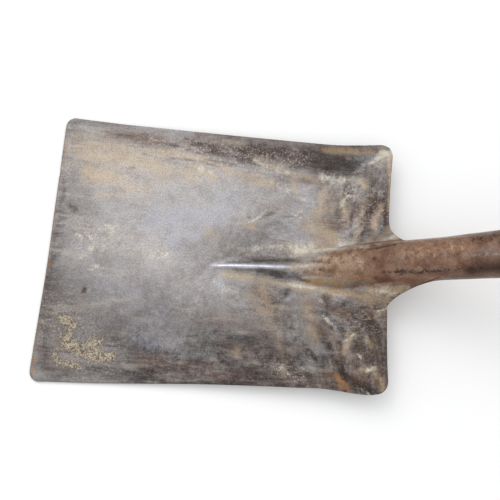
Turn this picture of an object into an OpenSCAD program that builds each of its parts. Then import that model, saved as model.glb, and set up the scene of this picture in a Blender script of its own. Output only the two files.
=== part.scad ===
// Short D-handled shovel with a forged square-mouth blade.
// Frame: +X runs from the mouth of the blade to the handle, +Z is up and +Y is to the left.
// The origin is the middle of the flat underside of the blade, so the blade lies flat on Z = 0
// and the handle rises behind it. The blade is a hand forging and isn't quite symmetrical.

/* [Blade] */
// Width across the mouth
mouth_w = 242.5; // [225:0.5:255]
// Width across the back, before the ears flare
rear_w = 217.5; // [205:0.5:232]
// Length from the mouth to the rear rim
blade_l = 296; // [285:1:305]
// Thickness of the sheet
sheet_t = 2.2; // [1.8:0.1:3]
// Height of the rear rim above the flat of the pan
rim_h = 17; // [12:1:20]
// How far each rear corner flares out
ear_flare = 4.5; // [0:0.5:7]
// How far the rear rim bows forward between its corners
rear_bow = 3.4; // [0:0.2:4]
// How far the right of the mouth stands proud of its left, which is worn back
mouth_skew = 2.6; // [0:0.2:4]
// How far the right side is drawn in at its middle
waist = 1.6; // [0:0.2:3]
// How far the pan sits to the left of the socket
pan_offset = 2.1; // [0:0.1:3]
// How much further to the left it sits at the mouth than at the back
pan_turn = 0.8; // [0:0.1:1.5]
// How far the tip of the rib wanders to the right of the socket
rib_skew = 7; // [0:0.5:9]
// Radius of the mouth's corners
mouth_corner_r = 9; // [8:1:14]
// Radius of the rear corners
rear_corner_r = 12; // [8:1:15]

/* [Socket] */
// Angle that the socket rises at
lift = 29; // [26:0.5:31]
// Radius of the solid shank where it leaves the pan
shank_r = 17.8; // [17:0.1:19]
// Outer radius of the socket at its mouth
socket_r = 21; // [20.6:0.1:22]
// Length of the socket behind the shank
socket_l = 190; // [175:1:205]
// Width of the open seam under the socket
seam_w = 1.8; // [1:0.1:3]

/* [Handle] */
// Radius of the shaft in the hand
shaft_r = 17.5; // [16.5:0.1:18.5]
// Angle of the shaft behind its bend
upper_angle = 12; // [8:0.5:16]
// Radius that the shaft is bent to
bend_r = 600; // [450:10:700]
// Straight length of shaft between the bend and the head
upper_l = 96; // [70:1:130]
// Distance between the two ends of the grip
grip_l = 88; // [84:1:96]
// Radius of the grip at its middle
grip_r = 15.5; // [13:0.1:17]

/* [Fasteners] */
// Radius of the rivets' shanks
rivet_r = 3; // [2.5:0.1:3.5]
// Radius of the rod through the grip
rod_r = 4; // [3:0.1:5]

/* [Hidden] */
$fn = 64;
steel_colour = [0.42, 0.36, 0.33];
iron_colour = [0.23, 0.22, 0.22];
rivet_colour = [0.48, 0.45, 0.42];
ash_colour = [0.66, 0.48, 0.30];

gap = 0.15;
// Small steps keep two solids that meet from sharing a face.
step = 0.02;
joint_l = 2;
joint_step = 0.3;
bend_overlap = 0.2;
far = 400;
over = 1;
mouth_x = -blade_l / 2;
rear_x = blade_l / 2;

// The wall along each side starts this far behind the mouth and rises with this power.
wall_start = 47;
wall_power = 1.3;
// Width of a side wall, seen from above, at the mouth and from the middle backwards
side_inset_front = 12;
side_inset_rear = 30;
side_inset_full_x = 40;
// Width of the rear wall
rear_inset = 46;
// Share of a wall's width that is a curve before the wall runs straight
wall_curve = 0.5;
// Sharpness of the fold where two walls meet
fold_power = 5;
// The ears flare from here, and each is forged to its own curve.
ear_start_x = rear_x - 60;
ear_left_x = rear_x + 2;
ear_right_x = rear_x - 15;
// The mouth's skew starts at its middle and grows past the right corner.
skew_start_y = 10;
skew_end_y = -140;
waist_l = 115;
bow_half_w = 114;
bow_power = 3;
// The webs are the two fillets that climb from the rear wall to the shank.
web_lift = 12;
web_start_x = 96;
web_l = 45;
web_outer_y = 38;
web_inner_y = 16;
// The edge of each web starts at this y on the rear rim and ends at this x on the shank.
// A power of 2 makes a quarter of an ellipse, and a lower one is straighter.
web_left = [46, 160, 2];
web_right = [36, 184, 1.5];

// The socket's axis passes here, at the end of the solid shank.
shank_x = 184;
shank_z = 50;
shank_front = 150;
cone_l = 80;
cone_r = 20.6;
bore_start = 12;
bore_start_r = 12;
bore_end_r = socket_r - 2;
seam_start = 70;
rivet_lower_s = 118;
rivet_upper_s = 164;

// The rib in front of the shank
rib_front_x = -12;
rib_back_x = 84;
rib_sections = 11;
rib_base_z = 1.1;
rib_slice = 0.2;
rib_facets = 28;
rib_tip_w = 1;
rib_shoulder_w = 3;
rib_shoulder_end = 0.3;
rib_spread_w = 8;
rib_spread_power = 1.6;
rib_tip_h = 1.6;
rib_shoulder_h = 2.4;
rib_climb_h = 4.8;

// Spacing of the points that the pan is made from
grid_front = 11;
grid_rear = 6;
grid_rear_l = 70;
grid_side = 9;
grid_middle = 5.75;
grid_middle_y = 46;
grid_margin = 6;
grid_y = 132;
side_points = 15;
rear_points = 6;
web_points = 9;
corner_points = 6;

// The shaft runs straight out of the socket, bends, and runs straight to the head.
shoulder_r = 20.2;
taper_end = 250;
bend_angle = lift - upper_angle;
bend_x = shank_x + taper_end * cos(lift);
bend_z = shank_z + taper_end * sin(lift);
bend_centre_x = bend_x + bend_r * sin(lift);
bend_centre_z = bend_z - bend_r * cos(lift);
upper_x = bend_centre_x - bend_r * sin(upper_angle);
upper_z = bend_centre_z + bend_r * cos(upper_angle);
head_x = upper_x + upper_l * cos(upper_angle);
head_z = upper_z + upper_l * sin(upper_angle);

// The head: a ferrule on the shaft and a fork that holds the grip. X runs along the shaft.
ferrule_l = 62;
ferrule_r = 19;
ferrule_end_r = 16.8;
ferrule_depth = 54;
ferrule_bore_r = 16.1;
ferrule_bore_end_r = 14.6;
ferrule_rivet_x = 26;
crotch_r = 15;
arm_r = 5.5;
arm_angle = 50;
arm_bend_r = 42;
arm_root_y = 7;
boss_r = 9.5;
boss_w = 13;
arm_y = grip_l / 2 + boss_w / 2;
arm_slant = (arm_y - arm_root_y - arm_bend_r * (1 - cos(arm_angle))) / sin(arm_angle);
arm_bend_x = ferrule_l + arm_slant * cos(arm_angle);
arm_straight_x = arm_bend_x + arm_bend_r * sin(arm_angle);
grip_x = ferrule_l + 96;
grip_end_r = 12.5;
grip_steps = 16;
washer_r = 8;
washer_t = 1.6;

// Rivet heads and burrs sink into the round body by these depths before they are cut to it.
rivet_head_r = 6.4;
rivet_head_h = 3.2;
head_sink = 1;
burr_r = 7.4;
burr_t = 1.5;
burr_sink = 1.4;
shank_sink = 0.5;
// A peened end is wider than its shank by its rim.
peen_rim = 1.8;
peen_h = 2;
rod_peen_rim = 2;
rod_peen_h = 2.6;
hole_gap = 0.1;
bend_facets = 128;
arm_facets = 96;

// 0 before a, 1 after b and smooth between them
function ease(x, a, b) =
    let (t = min(1, max(0, (x - a) / (b - a))))
    t * t * (3 - 2 * t);

// Distance from the pan's middle line to its side at x: the left for side 1, the right for -1
function half_w(x, side) =
    mouth_w / 2 + (rear_w - mouth_w) / 2 * (x - mouth_x) / blade_l
    + ear_flare * ease(x, ear_start_x, side > 0 ? ear_left_x : ear_right_x)
    - (side > 0 ? 0 : waist * (1 - ease(abs(x), 0, waist_l)));

// The pan's middle line, as a y for each x
function pan_mid(x) = pan_offset - pan_turn * (x - mouth_x - blade_l / 2) / blade_l;

// The mouth's edge and the rear rim, as an x for each y
function mouth_edge(y) = mouth_x - mouth_skew * ease(-y, -skew_start_y, -skew_end_y);
function rear_edge(y) = rear_x - rear_bow * (1 - pow(min(1, abs(y) / bow_half_w), bow_power));

// Height of a wall's cross-section, from 0 at its foot to 1 at its rim
function ramp(u) =
    u <= 0 ? 0
    : u < wall_curve ? u * u / (2 * wall_curve * (1 - wall_curve / 2))
    : (u - wall_curve / 2) / (1 - wall_curve / 2);

// Height of the side rim at x
function side_h(x) = rim_h * pow(max(0, x - mouth_x - wall_start) / (blade_l - wall_start), wall_power);

// Width of the side wall at x
function side_inset(x) =
    side_inset_front + (side_inset_rear - side_inset_front) * ease(x, mouth_x, side_inset_full_x);

// Height of the pan's underside
function pan_z(x, y) =
    let (
        rim_gap = half_w(x, y > pan_mid(x) ? 1 : -1) - abs(y - pan_mid(x)),
        side = side_h(x) * ramp(1 - rim_gap / side_inset(x)),
        rear = rim_h * ramp(1 - (rear_edge(y) - x) / rear_inset),
        web = ease(x, web_start_x, web_start_x + web_l) * (1 - ease(abs(y), web_inner_y, web_outer_y))
    )
    pow(pow(side, fold_power) + pow(rear, fold_power), 1 / fold_power) + web_lift * web;

// Points of a quarter circle about (x, y), counted from angle a
function corner(x, y, r, a, turn) =
    [for (i = [0:corner_points]) [x + r * cos(a + i * turn), y + r * sin(a + i * turn)]];

// One half of the pan's outline, from the mouth to the shank: the left for side 1, the right for -1
function outline_half(side) =
    let (
        turn = -90 * side / corner_points,
        front_x = mouth_x + mouth_corner_r,
        back_x = rear_x - rear_corner_r,
        front_y = pan_mid(mouth_x) + side * (half_w(mouth_x, side) - mouth_corner_r),
        back_y = pan_mid(rear_x) + side * (half_w(rear_x, side) - rear_corner_r),
        web_edge = side > 0 ? web_left : web_right,
        power = web_edge[2],
        web_y = side * web_edge[0],
        front_pts = [for (p = corner(front_x, front_y, mouth_corner_r, 180, turn))
            [p[0] + mouth_edge(p[1]) - mouth_x, p[1]]],
        side_pts = [for (i = [1:side_points - 1])
            let (x = front_x + i * (back_x - front_x) / side_points)
            [x, pan_mid(x) + side * half_w(x, side)]],
        corner_pts = [for (p = corner(back_x, back_y, rear_corner_r, 90 * side, turn))
            [p[0] + rear_edge(p[1]) - rear_x, p[1]]],
        rear_pts = [for (i = [1:rear_points - 1])
            let (y = back_y + i * (web_y - back_y) / rear_points)
            [rear_edge(y), y]],
        web_pts = [for (i = [0:web_points])
            let (t = i / web_points, y = web_y + t * (side * web_inner_y - web_y))
            [rear_edge(y) + (web_edge[1] - rear_edge(y)) * (1 - pow(1 - pow(t, power), 1 / power)), y]]
    )
    concat(front_pts, side_pts, corner_pts, rear_pts, web_pts);

function reversed(v) = [for (i = [len(v) - 1:-1:0]) v[i]];

// The slab between the pan's underside and its upper side, on a grid
module pan_slab() {
    rear_start_x = rear_x - grid_rear_l;
    front_xs = [for (x = [mouth_x - mouth_skew - over:grid_front:rear_start_x - over]) x];
    rear_xs = [for (x = [rear_start_x + over:grid_rear:web_right[1] + grid_margin]) x];
    side_ys = [for (y = [grid_y:-grid_side:grid_middle_y + grid_middle - over]) y];
    xs = concat(front_xs, rear_xs);
    ys = concat(
        [for (y = side_ys) -y],
        [for (y = [-grid_middle_y:grid_middle:grid_middle_y]) y],
        [for (i = [len(side_ys) - 1:-1:0]) side_ys[i]]
    );
    nx = len(xs);
    ny = len(ys);
    top = [for (x = xs) for (y = ys) [x, y, pan_z(x, y) + sheet_t]];
    bottom = [for (x = xs) for (y = ys) [x, y, pan_z(x, y)]];
    n = nx * ny;
    upper_faces = [for (i = [0:nx - 2]) for (j = [0:ny - 2])
        let (k = i * ny + j)
        [k, k + 1, k + ny + 1, k + ny]];
    lower_faces = [for (f = upper_faces) [f[3] + n, f[2] + n, f[1] + n, f[0] + n]];
    mouth_faces = [for (j = [0:ny - 2]) [j + 1, j, j + n, j + 1 + n]];
    back_faces = [for (j = [0:ny - 2])
        let (k = (nx - 1) * ny + j)
        [k, k + 1, k + 1 + n, k + n]];
    right_faces = [for (i = [0:nx - 2])
        let (k = i * ny)
        [k, k + ny, k + ny + n, k + n]];
    left_faces = [for (i = [0:nx - 2])
        let (k = i * ny + ny - 1)
        [k + ny, k, k + n, k + ny + n]];
    quads = concat(upper_faces, lower_faces, mouth_faces, back_faces, right_faces, left_faces);
    faces = [for (q = quads) for (f = [[q[0], q[1], q[2]], [q[0], q[2], q[3]]]) f];
    polyhedron(points = concat(top, bottom), faces = faces, convexity = 6);
}

module pan() {
    intersection() {
        pan_slab();
        translate([0, 0, -over])
            linear_extrude(far)
                polygon(concat(outline_half(1), reversed(outline_half(-1))));
    }
}

// Puts its children on the socket's axis, with their Z along it
module on_socket(s) {
    translate([shank_x + s * cos(lift), 0, shank_z + s * sin(lift)]) rotate([0, 90 - lift, 0]) children();
}

// The narrow ridge that stiffens the pan, from its tip to where it meets the shank
module rib() {
    for (i = [0:rib_sections - 2]) {
        hull() {
            rib_section(i / (rib_sections - 1));
            rib_section((i + 1) / (rib_sections - 1));
        }
    }
}

// A slice of the rib, at its tip for t = 0 and at its back for t = 1
module rib_section(t) {
    x = rib_front_x + t * (rib_back_x - rib_front_x);
    shoulder = ease(t, 0, rib_shoulder_end);
    w = rib_tip_w + rib_shoulder_w * shoulder + rib_spread_w * pow(t, rib_spread_power);
    h = rib_tip_h + rib_shoulder_h * shoulder + rib_climb_h * t;
    translate([x, -rib_skew * (shank_x - x) / (shank_x - rib_front_x), rib_base_z])
        rotate([0, 90, 0])
            scale([h, w, 1])
                cylinder(h = rib_slice, r = 1, $fn = rib_facets);
}

// The solid shank and the outside of the socket, turned about the socket's axis
module tube_outside(extra = 0) {
    on_socket(0) rotate_extrude() polygon([
        [0, -shank_front], [shank_r + extra, -shank_front], [shank_r + extra, 0], [cone_r + extra, cone_l],
        [socket_r + extra, socket_l], [0, socket_l]
    ]);
}

// The hollow that takes the shaft
module bore() {
    on_socket(0) rotate_extrude() polygon([
        [0, bore_start], [bore_start_r, bore_start], [bore_end_r, socket_l],
        [bore_end_r, socket_l + over], [0, socket_l + over]
    ]);
}

module blade() {
    color(steel_colour) difference() {
        union() {
            pan();
            intersection() {
                union() {
                    tube_outside();
                    rib();
                }
                translate([-far, -far, 0]) cube([2 * far, 2 * far, far]);
            }
        }
        bore();
        on_socket(seam_start) translate([0, -seam_w / 2, 0]) cube([far, seam_w, socket_l]);
        for (s = [rivet_lower_s, rivet_upper_s]) rivet_hole(s);
    }
}

module rivet_hole(s) {
    on_socket(s) rotate([90, 0, 0]) cylinder(h = far, r = rivet_r + hole_gap, center = true);
}

// Puts its children at the head, with their X along the shaft
module at_head() {
    translate([head_x, 0, head_z]) rotate([0, -upper_angle, 0]) children();
}

// The lower shaft: the cone in the socket, the shoulder against its mouth and the taper behind it
module lower_shaft() {
    on_socket(0) rotate_extrude() polygon([
        [0, bore_start + joint_l], [bore_start_r - gap, bore_start + joint_l],
        [bore_end_r - gap, socket_l], [bore_end_r - gap, socket_l + gap],
        [shoulder_r, socket_l + gap], [shaft_r + step, taper_end], [0, taper_end]
    ]);
}

// The bend, which runs on a little into the lower shaft
module shaft_bend() {
    translate([bend_centre_x, 0, bend_centre_z]) rotate([90, 0, 0]) rotate([0, 0, 90 + upper_angle])
        rotate_extrude(angle = bend_angle + bend_overlap, $fn = bend_facets)
            translate([bend_r, 0]) circle(r = shaft_r);
}

// The upper shaft: the straight behind the bend and the cone in the head's ferrule
module upper_shaft() {
    end_s = ferrule_depth - 2 * gap;
    at_head() rotate([0, 90, 0]) rotate_extrude() polygon([
        [0, -upper_l - joint_l], [shaft_r - joint_step, -upper_l - joint_l], [shaft_r - step, -upper_l],
        [ferrule_bore_r - gap, 0], [ferrule_bore_end_r - gap, end_s], [0, end_s]
    ]);
}

module shaft() {
    color(ash_colour) difference() {
        union() {
            lower_shaft();
            shaft_bend();
            upper_shaft();
        }
        for (s = [rivet_lower_s, rivet_upper_s]) rivet_hole(s);
        head_rivet_hole();
    }
}

module head_rivet_hole() {
    at_head() translate([ferrule_rivet_x, 0, 0]) rotate([90, 0, 0])
        cylinder(h = far, r = rivet_r + hole_gap, center = true);
}

// A domed head that stands on the plane z = 0
module dome(r, h) {
    ball_r = (r * r + h * h) / (2 * h);
    intersection() {
        translate([0, 0, h - ball_r]) sphere(r = ball_r);
        cylinder(h = h, r = r);
    }
}

// The shank of a rivet along Y and its peened right end, through a round body of the given radius
module rivet_shank(body_r) {
    peen = body_r + burr_t;
    rotate([-90, 0, 0]) translate([0, 0, -peen - shank_sink])
        cylinder(h = body_r + peen + 3 * shank_sink, r = rivet_r);
    rotate([90, 0, 0]) translate([0, 0, peen]) dome(rivet_r + peen_rim, peen_h);
}

// The made head on the left, before it is cut to the round of the body
module rivet_head(body_r) {
    rotate([-90, 0, 0]) translate([0, 0, body_r - head_sink]) dome(rivet_head_r, rivet_head_h + head_sink);
}

// The washer under a rivet's peened end
module burr(body_r) {
    rotate([90, 0, 0]) translate([0, 0, body_r - burr_sink]) difference() {
        cylinder(h = burr_t + burr_sink, r = burr_r);
        cylinder(h = far, r = rivet_r + hole_gap, center = true);
    }
}

// Outer radius of the socket at s
function socket_r_at(s) = cone_r + (socket_r - cone_r) * (s - cone_l) / (socket_l - cone_l);

module socket_rivet(s) {
    color(rivet_colour) {
        difference() {
            on_socket(s) rivet_head(socket_r_at(s));
            tube_outside(step);
        }
        on_socket(s) rivet_shank(socket_r_at(s));
    }
}

module socket_burr(s) {
    color(rivet_colour) difference() {
        on_socket(s) burr(socket_r_at(s));
        tube_outside(step);
    }
}

module socket_rivet_lower() { socket_rivet(rivet_lower_s); }
module socket_rivet_upper() { socket_rivet(rivet_upper_s); }
module socket_burr_lower() { socket_burr(rivet_lower_s); }
module socket_burr_upper() { socket_burr(rivet_upper_s); }

module ferrule_outside(extra = 0) {
    rotate([0, 90, 0]) cylinder(h = ferrule_l, r1 = ferrule_r + extra, r2 = ferrule_end_r + extra);
}

// Radius of the ferrule where its rivet is
function ferrule_rivet_r() = ferrule_r + (ferrule_end_r - ferrule_r) * ferrule_rivet_x / ferrule_l;

module head_rivet() {
    color(rivet_colour) at_head() {
        difference() {
            translate([ferrule_rivet_x, 0, 0]) rivet_head(ferrule_rivet_r());
            ferrule_outside(step);
        }
        translate([ferrule_rivet_x, 0, 0]) rivet_shank(ferrule_rivet_r());
    }
}

module head_burr() {
    color(rivet_colour) at_head() difference() {
        translate([ferrule_rivet_x, 0, 0]) burr(ferrule_rivet_r());
        ferrule_outside(step);
    }
}

// One arm of the fork: it slants out of the crotch, bends and runs straight to its boss
module arm() {
    translate([ferrule_l, arm_root_y, 0]) rotate([0, 90, arm_angle])
        cylinder(h = arm_slant + over, r = arm_r - step);
    translate([arm_straight_x, arm_y - arm_bend_r, 0]) rotate([0, 0, 90])
        rotate_extrude(angle = arm_angle, $fn = arm_facets) translate([arm_bend_r, 0]) circle(r = arm_r);
    translate([arm_straight_x - over, arm_y, 0]) rotate([0, 90, 0])
        cylinder(h = grip_x - arm_straight_x + over, r = arm_r - step);
    translate([grip_x, arm_y, 0]) rotate([90, 0, 0]) cylinder(h = boss_w, r = boss_r, center = true);
}

module head_yoke() {
    color(iron_colour) {
        difference() {
            at_head() {
                ferrule_outside();
                translate([ferrule_l, 0, 0]) sphere(r = crotch_r);
                arm();
                mirror([0, 1, 0]) arm();
            }
            at_head() rotate([0, 90, 0]) translate([0, 0, -step / 2])
                cylinder(h = ferrule_depth, r1 = ferrule_bore_r, r2 = ferrule_bore_end_r);
            at_head() translate([grip_x, 0, 0]) rotate([90, 0, 0])
                cylinder(h = far, r = rod_r + hole_gap, center = true);
            head_rivet_hole();
        }
    }
}

// The turned wooden crossbar
module grip() {
    half = grip_l / 2 - gap;
    hole_r = rod_r + hole_gap;
    barrel = [for (i = [0:grip_steps])
        let (t = 2 * i / grip_steps - 1)
        [grip_end_r + (grip_r - grip_end_r) * cos(90 * t), t * half]];
    color(ash_colour) at_head() translate([grip_x, 0, 0]) rotate([90, 0, 0])
        rotate_extrude() polygon(concat(barrel, [[hole_r, half], [hole_r, -half]]));
}

// The rod through the grip, peened over a washer at each end
module grip_rod() {
    end_y = grip_l / 2 + boss_w + washer_t;
    color(rivet_colour) at_head() translate([grip_x, 0, 0]) {
        rotate([90, 0, 0]) cylinder(h = 2 * end_y, r = rod_r, center = true);
        rotate([90, 0, 0]) translate([0, 0, end_y]) dome(rod_r + rod_peen_rim, rod_peen_h);
        rotate([-90, 0, 0]) translate([0, 0, end_y]) dome(rod_r + rod_peen_rim, rod_peen_h);
    }
}

module grip_washer(side) {
    color(rivet_colour) at_head() translate([grip_x, side * (grip_l / 2 + boss_w), 0])
        rotate([-90 * side, 0, 0]) difference() {
            cylinder(h = washer_t, r = washer_r);
            cylinder(h = far, r = rod_r + hole_gap, center = true);
        }
}

module grip_washer_left() { grip_washer(1); }
module grip_washer_right() { grip_washer(-1); }

blade();
shaft();
socket_rivet_lower();
socket_rivet_upper();
socket_burr_lower();
socket_burr_upper();
head_yoke();
head_rivet();
head_burr();
grip();
grip_rod();
grip_washer_left();
grip_washer_right();
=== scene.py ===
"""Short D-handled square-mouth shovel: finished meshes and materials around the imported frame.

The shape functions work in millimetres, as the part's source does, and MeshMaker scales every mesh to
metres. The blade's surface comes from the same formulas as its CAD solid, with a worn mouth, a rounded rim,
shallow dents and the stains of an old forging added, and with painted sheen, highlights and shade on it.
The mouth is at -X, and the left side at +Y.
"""

import math

import bpy
import numpy as np
from mathutils import Matrix, Vector


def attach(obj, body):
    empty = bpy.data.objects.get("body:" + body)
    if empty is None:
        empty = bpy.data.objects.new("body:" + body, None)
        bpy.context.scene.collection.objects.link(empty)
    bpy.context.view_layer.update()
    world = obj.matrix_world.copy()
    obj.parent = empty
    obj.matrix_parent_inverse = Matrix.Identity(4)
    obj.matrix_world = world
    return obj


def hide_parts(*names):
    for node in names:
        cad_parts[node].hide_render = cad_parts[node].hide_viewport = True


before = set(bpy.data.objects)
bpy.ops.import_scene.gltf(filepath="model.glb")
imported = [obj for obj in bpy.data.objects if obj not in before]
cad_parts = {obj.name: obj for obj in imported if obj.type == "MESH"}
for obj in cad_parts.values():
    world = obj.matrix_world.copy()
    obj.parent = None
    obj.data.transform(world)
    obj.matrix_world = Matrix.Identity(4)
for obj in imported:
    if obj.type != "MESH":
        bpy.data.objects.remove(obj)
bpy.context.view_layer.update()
MM = 0.001

# ---------------- driving dimensions, in mm

MOUTH_W, REAR_W, BLADE_L = 242.5, 217.5, 296.0
MOUTH_X, REAR_X = -BLADE_L / 2, BLADE_L / 2
SHEET_T, MOUTH_T, THIN_L = 2.2, 1.3, 14.0
RIM_H, EAR_FLARE, EAR_START, EAR_LEFT, EAR_RIGHT = 17.0, 4.5, REAR_X - 60.0, REAR_X + 2.0, REAR_X - 15.0
PAN_OFFSET, PAN_TURN = 2.1, 0.8
REAR_BOW, BOW_HALF_W, BOW_POWER = 3.4, 114.0, 3.0
MOUTH_SKEW, SKEW_START_Y, SKEW_END_Y = 2.6, 10.0, -140.0
WAIST, WAIST_L = 1.6, 115.0
MOUTH_R, CORNER_R = 9.0, 12.0
WALL_START, WALL_POWER, WALL_CURVE, FOLD_POWER = 47.0, 1.3, 0.5, 5.0
INSET_FRONT, INSET_REAR, INSET_X, REAR_INSET = 12.0, 30.0, 40.0, 46.0
WEB_LIFT, WEB_X, WEB_L, WEB_OUT, WEB_IN = 12.0, 96.0, 45.0, 38.0, 16.0
# Each web's outer y, the x where it meets the socket, and the power of its curve
WEB_LEFT, WEB_RIGHT = (46.0, 160.0, 2.0), (36.0, 184.0, 1.5)
LIFT = math.radians(29.0)
SHANK_X, SHANK_Z, SHANK_R = 184.0, 50.0, 17.8
CONE_L, CONE_R, SOCKET_L, SOCKET_R, WALL_T = 80.0, 20.6, 190.0, 21.0, 2.0
BORE_START, BORE_R, BORE_END_R = 12.0, 12.0, SOCKET_R - WALL_T
RIVETS_S = (118.0, 164.0)
# The socket's lip: how far it is rounded in, and the steps of its curve
LIP_L, LIP_DROP, LIP_STEPS = 2.2, 0.9, (0.3, 0.55, 0.75, 0.9, 1.0)
# The bore's mouth: places past the socket's end, and how much wider than the bore each is
BORE_MOUTH = ((0.05, 0.5), (-0.5, 0.05), (-3, -0.1))
SEAM_START, SEAM_END, SEAM_DEPTH, SEAM_HALF_W = 22.0, 60.0, 1.5, 0.8
PINCH_DEPTH, PINCH_L, PINCH_HALF_W = 0.25, 8.0, 6.0
# The rib's half width and height: at its tip, gained on its shoulder, gained towards the shank
RIB_FRONT, RIB_BACK, RIB_SKEW, RIB_SHOULDER_END = -12.0, 84.0, 7.0, 0.3
RIB_HALF_WIDTHS, RIB_SPREAD_POWER = (1.6, 3.2, 7.0), 1.6
RIB_HEIGHTS, RIB_ROUND_H, RIB_ROUND_POWER = (-1.5, 4.4, 4.4), 2.0, 1.5
# Fillets beside the rib, under the shank and above it, the last growing from x = 84 to x = 124
RIB_FILLET, KEEL_FILLET, SHANK_FILLET, FILLET_GROWTH = 1.6, 3.0, 4.0, 6.0
FILLET_START, FILLET_END, SKIRT_SLOPE = 84, 124, 4.0

# The blade's mesh: columns over the shank, columns beside it, rows, and points in its boundaries
CENTRE_COLS, OUT_COLS, ROWS = 44, 62, 196
EDGE_POINTS, WEB_POINTS, FLANK_POINTS, ARC_POINTS = 30, 24, 60, 12
EDGE_ANGLE = math.radians(84)
THINNEST = 0.8
# The rounded rim: each strip's share of the way out and of the way up
RIM_IN, RIM_STRIPS = 0.7, ((0.62, 0.82), (1.0, 0.5), (0.62, 0.18))
BLEND_RINGS, BLEND_END, OUTER_RINGS, BORE_RINGS = 14, 14.0, 96, 10

BEND_R, UPPER_L, TAPER_END = 600.0, 96.0, 250.0
UPPER = math.radians(12.0)
BEND_L = BEND_R * (LIFT - UPPER)
GAP, PIN_GAP, AXIS_R = 0.15, 0.1, 0.4
SHAFT_R, SHOULDER_R, CONE_TIP_R = 17.5, 20.2, 0.5
FERRULE_L, FERRULE_R, FERRULE_END_R, FERRULE_DEPTH = 62.0, 19.0, 16.8, 54.0
FERRULE_BORE_R, FERRULE_BORE_END_R, FERRULE_RIVET_X = 16.1, 14.6, 26.0
BAND_L, BAND_STEP_L, BAND_T = 5.5, 2.0, 0.75
CROTCH_R, ARM_R, ARM_ANGLE, ARM_BEND_R, ARM_ROOT_Y = 15.0, 5.5, math.radians(50.0), 42.0, 7.0
BOSS_R, BOSS_W = 9.5, 13.0
GRIP_L, GRIP_R, GRIP_END_R, GRIP_X = 88.0, 15.5, 12.5, 158.0
ARM_Y = GRIP_L / 2 + BOSS_W / 2
ROD_R, WASHER_R, WASHER_T = 4.0, 8.0, 1.6
RIVET_R, HEAD_R, HEAD_H, BURR_R, BURR_T, BURR_SINK = 3.0, 6.4, 3.2, 7.4, 1.5, 1.4


# ---------------- small numeric helpers


def ease(x, a, b):
    t = np.clip((x - a) / (b - a), 0, 1)
    return t * t * (3 - 2 * t)


def soft_max(a, b, k):
    h = np.maximum(k - np.abs(a - b), 0) / k
    return np.maximum(a, b) + h * h * k / 4


def soft_min(a, b, k):
    return -soft_max(-a, -b, k)


class Noise:
    """Smooth value noise on a seeded lattice, from -1 to 1."""

    def __init__(self, seed):
        self.values = np.random.default_rng(seed).uniform(-1, 1, 4096)

    def corner(self, i, j, k):
        return self.values[(i * 73856093 ^ j * 19349663 ^ k * 83492791) & 4095]

    def __call__(self, x, y, z=0.0, size=10.0, octaves=1):
        total, weight = 0.0, 0.0
        for n in range(octaves):
            total = total + self.layer(x, y, z, size / 2**n) / 2**n
            weight += 1 / 2**n
        return total / weight

    def layer(self, x, y, z, size):
        p = [np.asarray(c, float) / size + 100.5 for c in (x, y, z)]
        i = [np.floor(c).astype(np.int64) for c in p]
        f = [c - n for c, n in zip(p, i)]
        u = [c * c * (3 - 2 * c) for c in f]
        out = 0.0
        for a in (0, 1):
            for b in (0, 1):
                for c in (0, 1):
                    w = (u[0] if a else 1 - u[0]) * (u[1] if b else 1 - u[1]) * (u[2] if c else 1 - u[2])
                    out = out + w * self.corner(i[0] + a, i[1] + b, i[2] + c)
        return out


def along(points, n):
    """n + 1 points at equal steps of length along a polyline."""
    step = np.r_[0, np.cumsum(np.hypot(*np.diff(points, axis=0).T))]
    at = np.linspace(0, step[-1], n + 1)
    return np.stack([np.interp(at, step, points[:, k]) for k in (0, 1)], 1)


def filleted(points, cut, steps):
    """A polyline with each inner corner rounded off, from no more than a cut away from it."""
    points = [np.array(p, float) for p in points]
    out = [points[0]]
    for before, here, after in zip(points, points[1:], points[2:]):
        a, b = before - here, after - here
        la, lb = np.hypot(*a), np.hypot(*b)
        pa, pb = here + a / la * min(cut, la * 0.45), here + b / lb * min(cut, lb * 0.45)
        for t in np.linspace(0, 1, steps + 1):
            out.append((1 - t) ** 2 * pa + 2 * t * (1 - t) * here + t * t * pb)
    out.append(points[-1])
    return np.array(out)


def dense(points, step):
    """The same polyline with no piece of it longer than a step."""
    out = [points[0]]
    for a, b in zip(points, points[1:]):
        n = max(1, int(math.ceil(np.hypot(*(b - a)) / step)))
        out += [a + (b - a) * k / n for k in range(1, n + 1)]
    return np.array(out)


def circle(n):
    """Angles of n points round a circle."""
    return np.linspace(0, 2 * math.pi, n, endpoint=False)


def dabs(x, y, marks):
    """The strongest of a list of soft strokes (x0, y0, x1, y1, half width, strength) at each point."""
    total = np.zeros(np.shape(x))
    for x0, y0, x1, y1, width, strength in marks:
        dx, dy = x1 - x0, y1 - y0
        t = np.clip(((x - x0) * dx + (y - y0) * dy) / (dx * dx + dy * dy + 1e-9), 0, 1)
        gap = (x - x0 - t * dx) ** 2 + (y - y0 - t * dy) ** 2
        total = np.maximum(total, strength * np.exp(-gap / width**2))
    return total


# ---------------- meshes


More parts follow.
